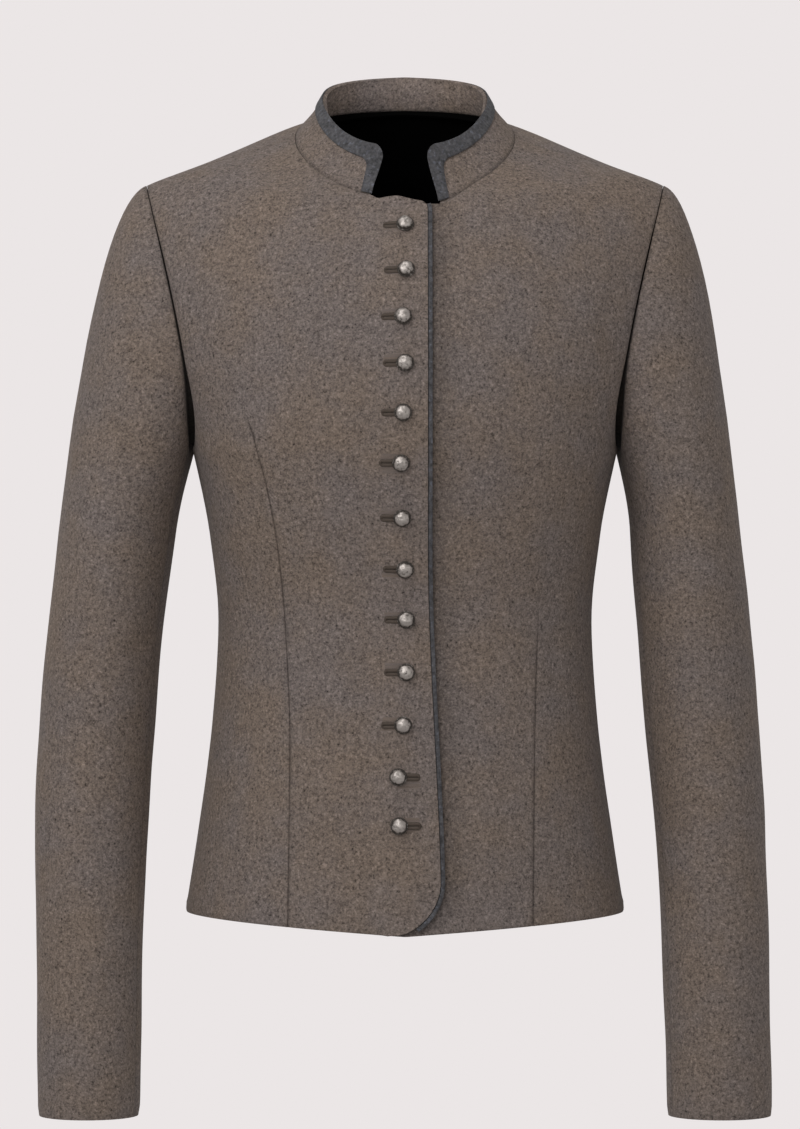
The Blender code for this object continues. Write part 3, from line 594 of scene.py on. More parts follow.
def front_point(place, share, side):
    """A point of a front, at a place up the table of sections and a share across from centre to side."""
    point = TorsoCurve(FRONT_SECTIONS, place, -1).at(share)
    return lapped(mirrored(point, side), centre_facing(place), side)


def dart_share(curve, side):
    """Where the dart's line crosses a section."""
    column = "right_x" if side == RIGHT else "left_x"
    place = place_of([point.z for point in DART_POINTS], curve.at(0.6).z)
    return curve.share_at_x(eased([getattr(point, column) for point in DART_POINTS], place))


def on_front(x, z, side):
    """The outer surface of a front at a point of the front view, and the way it faces there."""
    def row_height(place):
        curve = TorsoCurve(FRONT_SECTIONS, place, -1)
        return curve.at(curve.share_at_x(side * x)).z
    place = solved(row_height, z, 0.0, float(NECK_SECTION), 24)
    share = TorsoCurve(FRONT_SECTIONS, place, -1).share_at_x(side * x)
    step = 0.01
    across = front_point(place, share + step, side) - front_point(place, share - step, side)
    up = front_point(place + step, share, side) - front_point(place - step, share, side)
    return front_point(place, share, side), side * across.cross(up).normalized()


def torso_places(sections, counts):
    """Rows of a torso piece, finest at the hem and neck, where a front has round corners.

    The first row after the underarm or the neck keeps clear of that point, where rows crowd together.
    """
    levels = [section.level for section in sections]
    neck, underarm = levels.index("neck"), levels.index("underarm")
    places = []
    for place in spread(counts):
        interval = int(place)
        share = place - interval
        if interval == 0:
            share = share**HEM_CROWDING
        elif interval == neck - 1:
            share = 1 - (1 - share) ** NECK_CROWDING
        elif interval in (neck, underarm) and share:
            share = mixed(FIRST_ROW_SHARE, 1.0, share)
        places.append(interval + share)
    return places


def right_top_rise(point):
    """How far the right front's free top edge, between the collar's ends, lies above its form."""
    rise = eased([edge.rise for edge in TOP_EDGE], place_of([edge.x for edge in TOP_EDGE], point.x))
    above = point.z - FRONT_SECTIONS[NECK_SECTION].centre_z
    rise *= 1 - smooth(-above / TOP_EDGE_FADE)
    return rise * max(0.0, 1 - above / TOP_EDGE_FOOT_FADE) if point.x < TOP_EDGE_FOOT_X else rise


def ring_height(x):
    """The height of the neck ring in front, this far from the middle."""
    return neck_point(solved(lambda turn: neck_point(turn).x, x, 0, 90)).z


def left_end_drop(point, below_ring):
    """How far the collar's left end hangs below its form, or the front that it is sewn to."""
    if point.x > COLLAR_FOOT_X + LEFT_END_REACH or point.z < LEFT_END_LOW_Z:
        return 0.0
    gap = point.z - ring_height(max(point.x, COLLAR_FOOT_X))
    drop = COLLAR_END_DROP * (1 - smooth(gap / COLLAR_END_FADE))
    if below_ring:
        drop = FRONT_TOP_DROP + FRONT_TOP_MORE * (1 - smooth(-gap / FRONT_TOP_NEAR))
        drop *= 1 - smooth((-gap - FRONT_TOP_NEAR) / FRONT_TOP_FADE)
    return drop * (1 - smooth((point.x - COLLAR_FOOT_X) / LEFT_END_REACH))


def front_rows(places, side, dart_depth):
    """The outer face of a front as rows of points, and how deep each is sewn into the dart, from 0 to 1,
    which is also how dark the dart's painted shade is.

    The first columns reach past the collar's foot to the front edge, and only as high as the neck.
    """
    rows, sewn = [], []
    for place in places:
        curve = TorsoCurve(FRONT_SECTIONS, place, -1)
        facing = centre_facing(place)
        start, dart = front_curve_start(curve, place, side), dart_share(curve, side)
        for_a_metre = 0.01 / (curve.at(dart + 0.01) - curve.at(dart)).length
        first, last = (dart + step.offset * for_a_metre for step in (DART_STEPS[0], DART_STEPS[-1]))
        foot = curve.share_at_x(COLLAR_FOOT_X) if place < NECK_SECTION + 1 else 0.0
        edge = start if place <= NECK_SECTION else foot
        shares = [mixed(edge, foot, step / EDGE_COLUMNS) for step in range(EDGE_COLUMNS)]
        inner = [(step / INNER_COLUMNS) ** SIDE_CROWDING for step in range(INNER_COLUMNS)]
        shares += [mixed(foot, first, share) for share in inner]
        shares += [dart + step.offset * for_a_metre for step in DART_STEPS]
        shares += [mixed(last, 1.0, share) for share in crowded(OUTER_COLUMNS)[1:]]
        dart_z = curve.at(dart).z
        fade = smooth((DART_TOP_Z - dart_z) / DART_FADE)
        if side == LEFT:
            fade *= mixed(LEFT_DART_FLAT, 1.0, smooth((LEFT_DART_SHOWS_Z - dart_z) / LEFT_DART_RAMP))
        depths = [step.share * fade for step in DART_STEPS]
        depths = [0.0] * (EDGE_COLUMNS + INNER_COLUMNS) + depths + [0.0] * OUTER_COLUMNS
        row = []
        for share, depth in zip(shares, depths):
            point = lapped(mirrored(curve.at(share), side), facing, side)
            rise = right_top_rise(point) if side == RIGHT else -left_end_drop(point, True)
            row.append(point + Vector((0, depth * dart_depth, 0)) + UP_THE_CHEST * rise)
        rows.append(row)
        sewn.append(depths)
    return rows, sewn


def back_rows(places, side):
    """One half of the back, from its centre line or the neck to the side."""
    curves = [TorsoCurve(BACK_SECTIONS, place, 1) for place in places]
    return [[mirrored(curve.at(share), side) for share in crowded(BACK_COLUMNS)] for curve in curves]


# The sleeves

def sleeve_oval(place, turn, side):
    row = section_at(SLEEVE_SECTIONS, place)
    outer, inner = (row.right_outer, row.right_inner) if side == RIGHT else (row.left_outer, row.left_inner)
    angle = math.radians(turn)
    x = (outer + inner) / 2 - (outer - inner) / 2 * math.cos(angle)
    return Vector((x, row.y - row.half_depth * math.sin(angle), row.z))


def cap_point(share, turn, side):
    """A point of the sleeve's cap, between the armhole and the first level oval, on the wearer's left."""
    climb = (1 - math.cos(math.radians(turn))) / 2
    start = armhole_point(turn) + Vector((ARMHOLE_GAP, 0, 0))
    end = sleeve_oval(0, turn, side)
    heading = CAP_UNDER_HEADING.lerp(CAP_OUT_HEADING, climb)
    heading = heading - Vector((0, CAP_FRONT_SWELL * math.sin(math.radians(turn)), 0))
    landing = (sleeve_oval(0.2, turn, side) - end).normalized()
    points = (
        start,
        start + heading.normalized() * mixed(CAP_UNDER_HANDLE, CAP_OUT_HANDLE, climb),
        end - landing * mixed(CAP_UNDER_LANDING, CAP_OUT_LANDING, climb),
        end,
    )
    return cubic(points, share)


def sleeve_point(place, turn, side):
    """A point of a sleeve on the wearer's left. Place 0 to 1 is the cap."""
    return cap_point(place, turn, side) if place < 1 else sleeve_oval(place - 1, turn, side)


def sleeve_rows(places, side, first_turn, last_turn, columns):
    """The outer face of a sleeve piece, and the degrees of its columns."""
    half_gap = math.degrees(SEAM_GAP / 2 / SLEEVE_SECTIONS[-1].half_depth)
    ends = first_turn + half_gap, last_turn - half_gap
    turns = [mixed(*ends, step / columns) for step in range(columns + 1)]
    rows = [[mirrored(sleeve_point(place, turn, side), side) for turn in turns] for place in places]
    return rows, turns


# The collar

# Degrees along the neck ring, and the length of seam from the centre front to each
NECK_TURNS = [180 * step / 360 for step in range(361)]
NECK_LENGTHS = running_lengths([neck_point(turn) for turn in NECK_TURNS])


def collar_point(along, height, lift=0.0):
    """A point of the collar's outer face: this far along the seam from the centre front, and up from it."""
    place = place_of(NECK_LENGTHS, along)
    index = min(int(place), len(NECK_TURNS) - 2)
    turn = mixed(NECK_TURNS[index], NECK_TURNS[index + 1], place - index)
    tangent = neck_point(min(180, turn + 0.5)) - neck_point(max(0, turn - 0.5))
    inward = Vector((-tangent.y, tangent.x, 0)).normalized()
    end_lean = COLLAR_FRONT_LEAN if turn < 90 else COLLAR_BACK_LEAN
    lean = mixed(end_lean, COLLAR_SIDE_LEAN, math.sin(math.radians(turn)))
    rise = inward * math.sin(lean) + Vector((0, 0, math.cos(lean)))
    outward = Vector((0, 0, math.sin(lean))) - inward * math.cos(lean)
    share = height / COLLAR_HEIGHT
    hollow = 16 * COLLAR_HOLLOW * (share * (1 - share)) ** 2
    low_back = mixed(1.0, COLLAR_BACK_SHARE, (1 - math.cos(math.radians(turn))) / 2)
    return neck_point(turn) + rise * (height * low_back + COLLAR_GAP) + outward * (lift - hollow)


def collar_front(height):
    """How far along the seam the collar's front edge lies at a height, but for its round corner."""
    return mixed(COLLAR_FRONT_BASE, COLLAR_FRONT_TOP, smooth(height / COLLAR_HEIGHT))


def collar_edge(height):
    return collar_front(height) + corner_inset(COLLAR_HEIGHT - height, COLLAR_CORNER_RADIUS)


def both_halves(row):
    """A row from the left front to the centre back, carried on round to the right front."""
    left = [point - UP_THE_CHEST * left_end_drop(point, False) for point in row]
    return [*left, *(mirrored(point, RIGHT) for point in reversed(row[:-1]))]


def collar_stations():
    """Places along the seam from the band's corner to the centre back."""
    shares = [step / COLLAR_STEPS for step in range(COLLAR_STEPS + 1)]
    return [mixed(BAND_FRONT_START, NECK_LENGTHS[-1], share) for share in shares]


def bound_share(along):
    """1 where the felt band binds the collar's edge, and 0 at the back, where it ends below the edge."""
    return 1 - smooth((along - BAND_BOUND_END) / BAND_BOUND_RAMP)


def collar_rows():
    """The collar's outer face, from the edge that is turned in below the neck seam up to its top."""
    top = COLLAR_HEIGHT - COLLAR_RIM_INSET
    turns = [math.radians(90 * row / COLLAR_ROWS) for row in range(1, COLLAR_ROWS + 1)]
    heights = [(top * math.sin(turn), 0.0) for turn in turns]
    grid = []
    for height, lift in [*COLLAR_TURN_IN, *heights]:
        edge = collar_edge(height + COLLAR_RIM_INSET) + COLLAR_RIM_INSET
        shares = [step / COLLAR_FRONT_STEPS for step in range(COLLAR_FRONT_STEPS)]
        row = []
        for along in [*(mixed(edge, BAND_FRONT_START, share) for share in shares), *collar_stations()]:
            grown = 1 + (1 - bound_share(along)) * COLLAR_RIM_INSET / top
            # At the back the foot of the collar is sewn over the edge of the back.
            over = smooth((along - COLLAR_BACK_START) / COLLAR_BACK_RAMP)
            over = over if height == COLLAR_TURN_IN[-1][0] else 0.0
            foot = height * grown if height > 0 else height - COLLAR_BACK_FOOT_DROP * over
            row.append(collar_point(along, foot, lift + COLLAR_BACK_FOOT_LIFT * over))
        grid.append(both_halves(row))
    return grid


def band_rail(top, front, radius):
    """One long edge of the felt band, from the front foot to the centre back.

    Its points are lengths along the seam, and heights.
    """
    corner = front(top - radius) + radius
    heights = [(top - radius) * step / BAND_FRONT_STEPS for step in range(BAND_FRONT_STEPS)]
    rail = [(front(height), height) for height in heights]
    for step in range(BAND_CORNER_STEPS):
        turn = math.radians(90 * (1 - step / BAND_CORNER_STEPS))
        rail.append((corner - radius * math.sin(turn), top - radius * (1 - math.cos(turn))))
    rail += [(mixed(corner, BAND_FRONT_START, step / BAND_TOP_STEPS), top) for step in range(BAND_TOP_STEPS)]
    return rail + [(along, top) for along in collar_stations()]


def band_rows():
    """The felt band's outer face, from its inner edge to the collar's edge."""
    outer = band_rail(COLLAR_HEIGHT, collar_front, COLLAR_CORNER_RADIUS)
    inner = band_rail(COLLAR_HEIGHT - BAND_WIDTH, lambda height: BAND_FRONT_INNER, BAND_CORNER_RADIUS)
    grid = []
    for row in range(BAND_ROWS + 1):
        share = row / BAND_ROWS
        halves = []
        for near, far in zip(inner, outer):
            low = BAND_BACK_DROP * share * (1 - bound_share(far[0]))
            along, height = mixed(near[0], far[0], share), mixed(near[1], far[1], share) - low
            halves.append(collar_point(along, height, BAND_GAP + TRIM_WALL))
        grid.append(both_halves(halves))
    return grid


# Pressing folds and seams into a grid

# A sunk edge: how deep and how wide it dips, and how much darker it is painted there as painted shade.
SeamDip = namedtuple("SeamDip", "depth width shade")
PLAIN_EDGE = SeamDip(0.0, 0.001, 0.0)
SOFT_SEAM = SeamDip(0.0004, 0.0040, 0.25)
NECK_SEAM = SeamDip(0.0003, 0.0040, 0.3)
TURNED_EDGE = SeamDip(0.0008, 0.0030, 0.2)
FELT_EDGE = SeamDip(0.00025, 0.0015, 0.5)
SHOULDER_SEAM = SeamDip(0.0001, 0.0060, 0.9)
ARMHOLE_SEAM = SeamDip(0.0008, 0.0060, 0.9)
UNDERARM_HOLLOW = SeamDip(0.0030, 0.0130, 0.9)
SHOULDER_SEAM_Z, SHOULDER_SEAM_RAMP = -0.095, 0.040
HOLLOW_TOP_Z, HOLLOW_RAMP, HOLLOW_FRONT_RAMP = -0.160, 0.055, 0.012
# Rows of a sleeve's seam allowance: how far towards the body, and towards the armhole's middle
SEAM_ALLOWANCE = ((0.0002, 0.0016), (0.0006, 0.0034), (0.0070, 0.0050))


def armhole_seam(point):
    """Hardly sunk on the shoulder, and a deep hollow in front towards the underarm."""
    low = smooth((HOLLOW_TOP_Z - point.z) / HOLLOW_RAMP) * smooth((SEAM_Y - point.y) / HOLLOW_FRONT_RAMP)
    high = smooth((point.z - SHOULDER_SEAM_Z) / SHOULDER_SEAM_RAMP)
    depth = mixed(mixed(ARMHOLE_SEAM.depth, SHOULDER_SEAM.depth, high), UNDERARM_HOLLOW.depth, low)
    return SeamDip(depth, mixed(ARMHOLE_SEAM.width, UNDERARM_HOLLOW.width, low), ARMHOLE_SEAM.shade)


def near_edge(distance, width):
    """1 on an edge, falling softly to 0 at this width from it."""
    return max(0.0, 1 - distance / width) ** 2


def crease_depth(creases, u, z, u_scale):
    """How deep the creases of a piece press it in at a point."""
    total = 0.0
    here = Vector((u * u_scale, z))
    for crease in creases:
        start = Vector((crease.start_u * u_scale, crease.start_z))
        line = Vector((crease.end_u * u_scale, crease.end_z)) - start
        share = (here - start).dot(line) / line.length_squared
        if not -CREASE_OVERRUN < share < 1 + CREASE_OVERRUN:
            continue
        away = (here - start - line * share).length / crease.half_width
        if away < CREASE_REACH:
            fade = smooth(min(share + CREASE_OVERRUN, 1 + CREASE_OVERRUN - share) / CREASE_FADE)
            total += crease.depth * fade * math.exp(-away * away)
    return total


class Panel:
    """A cloth piece as rows of points on its outer face, with the shade that is painted on its cloth, mostly
    along its seams.
    """

    def __init__(self, rows, outward):
        self.rows = rows
        self.shade = [[0.0] * len(row) for row in rows]
        self.notch = None
        self.black_shade_rows = 0
        middle = self.facing(len(rows) // 2, len(rows[0]) // 2)
        self.sign = 1 if middle.dot(outward) > 0 else -1

    def facing(self, row, column):
        rows = self.rows
        on_notch = self.notch and row == self.notch[0] and column < self.notch[1]
        above = row if on_notch else min(row + 1, len(rows) - 1)
        across = rows[row][min(column + 1, len(rows[row]) - 1)] - rows[row][max(column - 1, 0)]
        up = rows[above][column] - rows[max(row - 1, 0)][column]
        return across.cross(up).normalized()

    def press(self, bottom, top, first, last, depth_at, unevenness, corner=0.0):
        """Sinks the edges that are sewn or turned, presses the creases in and leaves the cloth uneven.

        The corner at the end of the first row may be rounded.
        """
        across = [running_lengths(row) for row in self.rows]
        upward = [running_lengths(column) for column in zip(*self.rows)]
        moved = []
        for r, row in enumerate(self.rows):
            moved_row = []
            for c, point in enumerate(row):
                sides = (
                    (bottom, upward[c][r]),
                    (top, upward[c][-1] - upward[c][r]),
                    (first, across[r][c]),
                    (last, across[r][-1] - across[r][c]),
                )
                sides = [(dip(point) if callable(dip) else dip, distance) for dip, distance in sides]
                sides = [(dip, distance) for dip, distance in sides if dip]
                depth = max(dip.depth * near_edge(distance, dip.width) for dip, distance in sides)
                # Painted shade: the cloth is painted darker close to each sewn or turned edge.
                shade = max(dip.shade * near_edge(distance, SEAM_SHADE_WIDTH) for dip, distance in sides)
                self.shade[r][c] = max(self.shade[r][c], shade)
                calm = smooth(min(distance for _, distance in sides) / CALM_WIDTH)
                depth += calm * (depth_at(r, c, point) + unevenness * noise.noise(point * UNEVEN_SCALE))
                pressed = point - self.facing(r, c) * self.sign * depth
                # Points on the fold of a half panel stay on it.
                pressed.x = pressed.x if point.x else 0.0
                if corner:
                    near_hem = max(0.0, 1 - upward[c][r] / (2.5 * corner))
                    pressed.z += near_hem * corner_inset(across[r][-1] - across[r][c], corner)
                moved_row.append(pressed)
            moved.append(moved_row)
        self.rows = moved

    def add_allowance(self, side):
        """Folds a sleeve's seam allowance into the body, behind the edge of the armhole."""
        middle = (armhole_point(0) + armhole_point(180)) / 2
        folded = []
        for away, inward in reversed(SEAM_ALLOWANCE):
            row = []
            for point in self.rows[0]:
                to_middle = Vector((0, middle.y - point.y, middle.z - point.z)).normalized()
                row.append(point + Vector((-side * away, 0, 0)) + to_middle * inward)
            folded.append(row)
        self.rows = [*folded, *self.rows]
        # The allowance is painted near-black: painted shade in the gap between sleeve and body.
        self.shade = [*([HIDDEN_SHADE] * len(row) for row in folded), *self.shade]

    def flat_cut(self):
        """The width and length that the piece is cut to, and its area."""
        width = max(running_lengths(row)[-1] for row in self.rows)
        length = max(running_lengths(column)[-1] for column in zip(*self.rows))
        area = 0.0
        for low, high in zip(self.rows, self.rows[1:]):
            for a, b, c, d in zip(low, low[1:], high[1:], high):
                area += ((c - a).cross(d - b)).length / 2
        return (width, length), min(area, width * length)


def cloth_piece(name, panels, wall, finishes, cut_shift, edge_round):
    """A mesh object on the grids of one or two panels. Its wall grows inwards and its edges are rounded.

    The second finish, if there is one, covers the inside, and the last one a panel's rows painted black as
    shade.
    """
    shape = bmesh.new()
    seam = shape.verts.layers.float.new("seam")
    shift = shape.verts.layers.float_vector.new("cut_shift")
    for panel in panels:
        columns, rows = len(panel.rows[0]) - 1, len(panel.rows) - 1
        made = bmesh.ops.create_grid(shape, x_segments=columns, y_segments=rows, size=1.0)["verts"]
        places = {}
        for vertex in made:
            column = round((vertex.co.x + 1) / 2 * columns)
            row = round((vertex.co.y + 1) / 2 * rows)
            places[vertex] = row, column
            vertex.co = panel.rows[row][column]
            vertex[seam] = panel.shade[row][column]
            vertex[shift] = Vector(cut_shift)
        faces = list({face for vertex in made for face in vertex.link_faces})
        if panel.sign < 0:
            bmesh.ops.reverse_faces(shape, faces=faces)
        for face in faces:
            if max(places[vertex][0] for vertex in face.verts) <= panel.black_shade_rows:
                face.material_index = len(finishes) - 1
        if panel.notch:
            first_row, last_column = panel.notch
            spare = [face for face in faces if all(
                places[vertex][0] >= first_row and places[vertex][1] <= last_column for vertex in face.verts
            )]
            bmesh.ops.delete(shape, geom=spare, context="FACES")
    bmesh.ops.remove_doubles(shape, verts=shape.verts, dist=CLOTH_WELD)
    obj = add_piece(name, shape, finishes)
    inside = min(1, len(finishes) - 1)
    add_modifier(obj, "Wall", "SOLIDIFY", thickness=wall, offset=-1.0, material_offset=inside)
    add_modifier(
        obj, "Soft edge", "BEVEL", affect="EDGES", width=edge_round, segments=2, profile=0.5, material=-1,
        limit_method="ANGLE", angle_limit=math.radians(50), harden_normals=True,
    )
    return obj


def add_modifier(obj, name, kind, **settings):
    modifier = obj.modifiers.new(name, kind)
    for setting, value in settings.items():
        setattr(modifier, setting, value)


def add_piece(name, shape, finishes, rounded=True):
    """A new object of a bmesh, which is freed."""
    for face in shape.faces:
        face.smooth = rounded
    mesh = bpy.data.meshes.new(name)
    shape.to_mesh(mesh)
    shape.free()
    for finish in finishes:
        mesh.materials.append(finish)
    obj = bpy.data.objects.new(name, mesh)
    bpy.context.scene.collection.objects.link(obj)
    return obj


def made_final(obj):
    """The piece with its modifiers worked into its mesh."""
    graph = bpy.context.evaluated_depsgraph_get()
    mesh = bpy.data.meshes.new_from_object(obj.evaluated_get(graph))
    obj.modifiers.clear()
    obj.data = mesh


def dress(obj, node):
    """Sets a piece on the jacket in place of a solid."""
    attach(obj, "root")
    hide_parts(node)


# Finishes

class Link:
    """One output of a shader node. Python's operators on it add Math nodes."""

    def __init__(self, finish, output):
        self.finish = finish
        self.output = output

    def joined(self, operation, first, second):
        return self.finish.node("ShaderNodeMath", {"operation": operation}, {0: first, 1: second})[0]

    def __add__(self, other):
        return self.joined("ADD", self, other)

    __radd__ = __add__

    def __sub__(self, other):
        return self.joined("SUBTRACT", self, other)

    def __rsub__(self, other):
        return self.joined("SUBTRACT", other, self)

    def __mul__(self, other):
        return self.joined("MULTIPLY", self, other)

    __rmul__ = __mul__


class Finish:
    """A material whose nodes are added one by one."""

    def __init__(self, name):
        self.material = bpy.data.materials.new(name)
        self.material.use_nodes = True
        self.tree = self.material.node_tree
        self.shader = self.tree.nodes["Principled BSDF"]

    def node(self, kind, settings=None, inputs=None):
        """A new node, as the list of its outputs. Settings come first, then its sockets' values or links."""
        node = self.tree.nodes.new(kind)
        for name, value in (settings or {}).items():
            setattr(node, name, value)
        self.fill(node, inputs or {})
        return [Link(self, output) for output in node.outputs]

    def fill(self, node, inputs):
        for name, value in inputs.items():
            if isinstance(value, Link):
                self.tree.links.new(value.output, node.inputs[name])
            else:
                node.inputs[name].default_value = value

    def surface(self, **inputs):
        self.fill(self.shader, {name.replace("_", " "): value for name, value in inputs.items()})

    def place(self):
        """Where a point lies on the piece, moved to the part of the cloth that the piece was cut from."""
        here = self.node("ShaderNodeTexCoord")[3]
        shift = self.attribute("cut_shift")[1]
        return self.node("ShaderNodeVectorMath", {"operation": "ADD"}, {0: here, 1: shift})[0]

    def attribute(self, name):
        return self.node("ShaderNodeAttribute", {"attribute_name": name})

    def specks(self, place, size, detail=2.0, roughness=0.55):
        """Soft noise from 0 to 1, whose features are about this size."""
        inputs = {"Vector": place, "Scale": 1 / size, "Detail": detail, "Roughness": roughness}
        return self.node("ShaderNodeTexNoise", {"noise_dimensions": "3D"}, inputs)[0]

    def step(self, value, low, high):
        """0 below low, 1 above high and smooth between."""
        settings = {"interpolation_type": "SMOOTHSTEP"}
        inputs = {"Value": value, "From Min": low, "From Max": high, "To Min": 0.0, "To Max": 1.0}
        return self.node("ShaderNodeMapRange", settings, inputs)[0]

    def blend(self, share, first, second):
        """A colour between two."""
        return self.node("ShaderNodeMix", {"data_type": "RGBA"}, {0: share, 6: first, 7: second})[2]

    def dimmed(self, colour, amount):
        return self.node("ShaderNodeVectorMath", {"operation": "SCALE"}, {0: colour, "Scale": amount})[0]

    def relief(self, height, strength, distance):
        inputs = {"Height": height, "Strength": strength, "Distance": distance}
        return self.node("ShaderNodeBump", {}, inputs)[0]


def opaque(colour):
    return (*colour, 1.0)


def wool_finish(cloth, name="felted_wool", lightness=1.0):
    """Felted melange wool: brown and grey patches, a fine mottle and paler and darker fibres."""
    finish = Finish(name)
    place = finish.place()
    patches = finish.step(finish.specks(place, cloth.patch_size, 4.0, 0.6), 0.30, 0.70)
    mottle = finish.specks(place, cloth.mottle_size, 2.0, 0.6)
    fibres = finish.specks(place, cloth.mottle_size * 0.45, 1.0)
    flecks = finish.specks(place, cloth.mottle_size * 0.70, 1.0)
    pale = finish.step(flecks, 0.58, 0.72)
    dark = 1.0 - finish.step(flecks, 0.28, 0.42)
    seam = finish.attribute("seam")[2]
    colour = finish.blend(patches, opaque(cloth.brown), opaque(cloth.grey))
    light = 1.0 + cloth.mottle * (mottle - 0.5) + cloth.mottle * (fibres - 0.5)
    light = light + 0.46 * pale - 0.40 * dark
    # Painted shade: darker where the seam attribute marks painted shade; lightness paints the whole wool
    # lighter for a painted light.
    light = light * (lightness - 0.45 * lightness * seam)
    finish.surface(
        Base_Color=finish.dimmed(colour, light),
        Roughness=0.95,
        Sheen_Weight=0.12,
        Sheen_Roughness=0.5,
        Sheen_Tint=(0.62, 0.56, 0.52, 1.0),
        Specular_IOR_Level=0.2,
        Normal=finish.relief(mottle * 0.5 + fibres * 0.5, 0.35, 0.0010),
    )
    return finish.material


def painted_light_wool_finish(cloth):
    """The collar's inside: the same wool painted lighter, a painted light where it lies in shade."""
    return wool_finish(cloth, "pale_wool", 1.6)


def inside_finish(cloth):
    """The black cloth of the inside, painted near-black: painted shade inside the jacket as well."""
    finish = Finish("black_inside")
    weave = finish.specks(finish.place(), 0.0012, 1.0)
    finish.surface(
        Base_Color=finish.blend(weave, opaque(cloth.inside), opaque((0.0, 0.0, 0.0))),
        Roughness=0.9,
        Specular_IOR_Level=0.05,
        Normal=finish.relief(weave, 0.2, 0.0005),
    )
    return finish.material


def felt_finish(trim):
    """Dense slate felt."""
    finish = Finish("felt_trim")
    place = finish.place()
    mottle = finish.specks(place, 0.0060, 3.0, 0.6)
    fibres = finish.specks(place, 0.0024, 2.0)
    seam = finish.attribute("seam")[2]
    # Painted shade: darker where the seam attribute marks the felt's edge and the piping's dark line.
    light = (1.0 + 1.0 * (mottle - 0.5) + 1.9 * (fibres - 0.5)) * (1.0 - 0.30 * seam)
    patches = finish.step(finish.specks(place, 0.012, 3.0), 0.40, 0.60)
    flecks = finish.step(finish.specks(place, 0.0022, 1.0), 0.56, 0.70)
    colour = finish.blend(patches, opaque(trim.felt), opaque(trim.felt_pale))
    colour = finish.blend(flecks * 0.8, colour, opaque(trim.felt_fleck))
    finish.surface(
        Base_Color=finish.dimmed(colour, light),
        Roughness=0.95,
        Sheen_Weight=0.10,
        Sheen_Roughness=0.5,
        Specular_IOR_Level=0.2,
        Normal=finish.relief(fibres * 0.6 + mottle * 0.4, 0.35, 0.0008),
    )
    return finish.material


def thread_finish(trim):
    """Dark brown buttonhole twist."""
    finish = Finish("buttonhole_twist")
    strands = finish.specks(finish.place(), 0.0006, 2.0)
    depth = finish.attribute("seam")[2]
    # Painted shade: darker where the stitches dip, between them and at the lip.
    light = (0.75 + 0.5 * strands) * (1.0 - 0.25 * depth)
    finish.surface(
        Base_Color=finish.dimmed(tuple(trim.thread), light),
        Roughness=0.7,
        Sheen_Weight=0.05,
        Specular_IOR_Level=0.3,
        Normal=finish.relief(strands, 0.3, 0.0003),
    )
    return finish.material


def silver_finish(buttons):
    """Old silver: worn bright on the dome, dark in the hammered hollows and round the rim."""
    finish = Finish("worn_silver")
    place = finish.place()
    tarnish = finish.attribute("seam")[2]
    blots = finish.specks(place, 0.0017, 3.0, 0.6)
    scratches = finish.specks(place, 0.0007, 2.0)
    worn = finish.step(tarnish + 2.2 * (blots - 0.5) + 0.5 * (scratches - 0.5), 0.0, 0.90)
    finish.surface(
        Base_Color=finish.blend(worn, opaque(buttons.silver), opaque(buttons.tarnish)),
        Metallic=1.0,
        Roughness=0.42 + 0.22 * worn,
        Normal=finish.relief(blots * 0.8 + scratches * 0.2, 0.30, 0.0006),
    )
    return finish.material


# Adjustable sizes and colours

COLOUR = {"subtype": "COLOR", "size": 3, "min": 0, "max": 1}


class JacketCloth(bpy.types.PropertyGroup):
    """The wool cloth and how it lies."""

    brown: FloatVectorProperty(
        name="Brown", description="Brown wool of the melange", default=(0.172, 0.134, 0.109), **COLOUR)
    grey: FloatVectorProperty(
        name="Grey", description="Grey wool of the melange", default=(0.158, 0.132, 0.122), **COLOUR)
    # The inside is painted near-black: black cloth and the deep shade inside the jacket.
    inside: FloatVectorProperty(
        name="Inside", description="Cloth of the inside", default=(0.0012, 0.0012, 0.0012), **COLOUR)
    patch_size: FloatProperty(
        name="Patch size", description="How large the patches of colour are", unit="LENGTH", default=0.060)
    mottle_size: FloatProperty(
        name="Mottle size", description="How large the mottle of the felt is", unit="LENGTH", default=0.0028)
    mottle: FloatProperty(
        name="Mottle", description="How strong the mottle is", subtype="FACTOR", min=0, max=2, default=1.30)
    dart_depth: FloatProperty(
        name="Dart depth", description="How deep the darts are sewn in", unit="LENGTH", default=0.0011)
    crease: FloatProperty(
        name="Creases", description="How strong the creases are", subtype="FACTOR", min=0, max=3, default=1.0)
    unevenness: FloatProperty(
        name="Unevenness", description="How uneven the cloth lies", unit="LENGTH", default=0.0006)
    edge_round: FloatProperty(
        name="Edge rounding", description="How round the cloth's edges are", unit="LENGTH", default=0.0006)


class JacketTrim(bpy.types.PropertyGroup):
    """Felt trim and buttonholes."""

    felt: FloatVectorProperty(
        name="Felt", description="Slate felt", default=(0.068, 0.067, 0.071), **COLOUR)
    felt_pale: FloatVectorProperty(
        name="Pale felt", description="Paler places of the felt", default=(0.076, 0.075, 0.080), **COLOUR)
    felt_fleck: FloatVectorProperty(
        name="Felt flecks", description="Pale fibres in the felt", default=(0.108, 0.112, 0.132), **COLOUR)
    thread: FloatVectorProperty(
        name="Thread", description="Buttonhole twist", default=(0.086, 0.065, 0.051), **COLOUR)
    stitches: IntProperty(
        name="Stitches", description="Stitches round a buttonhole", min=20, max=120, default=58)


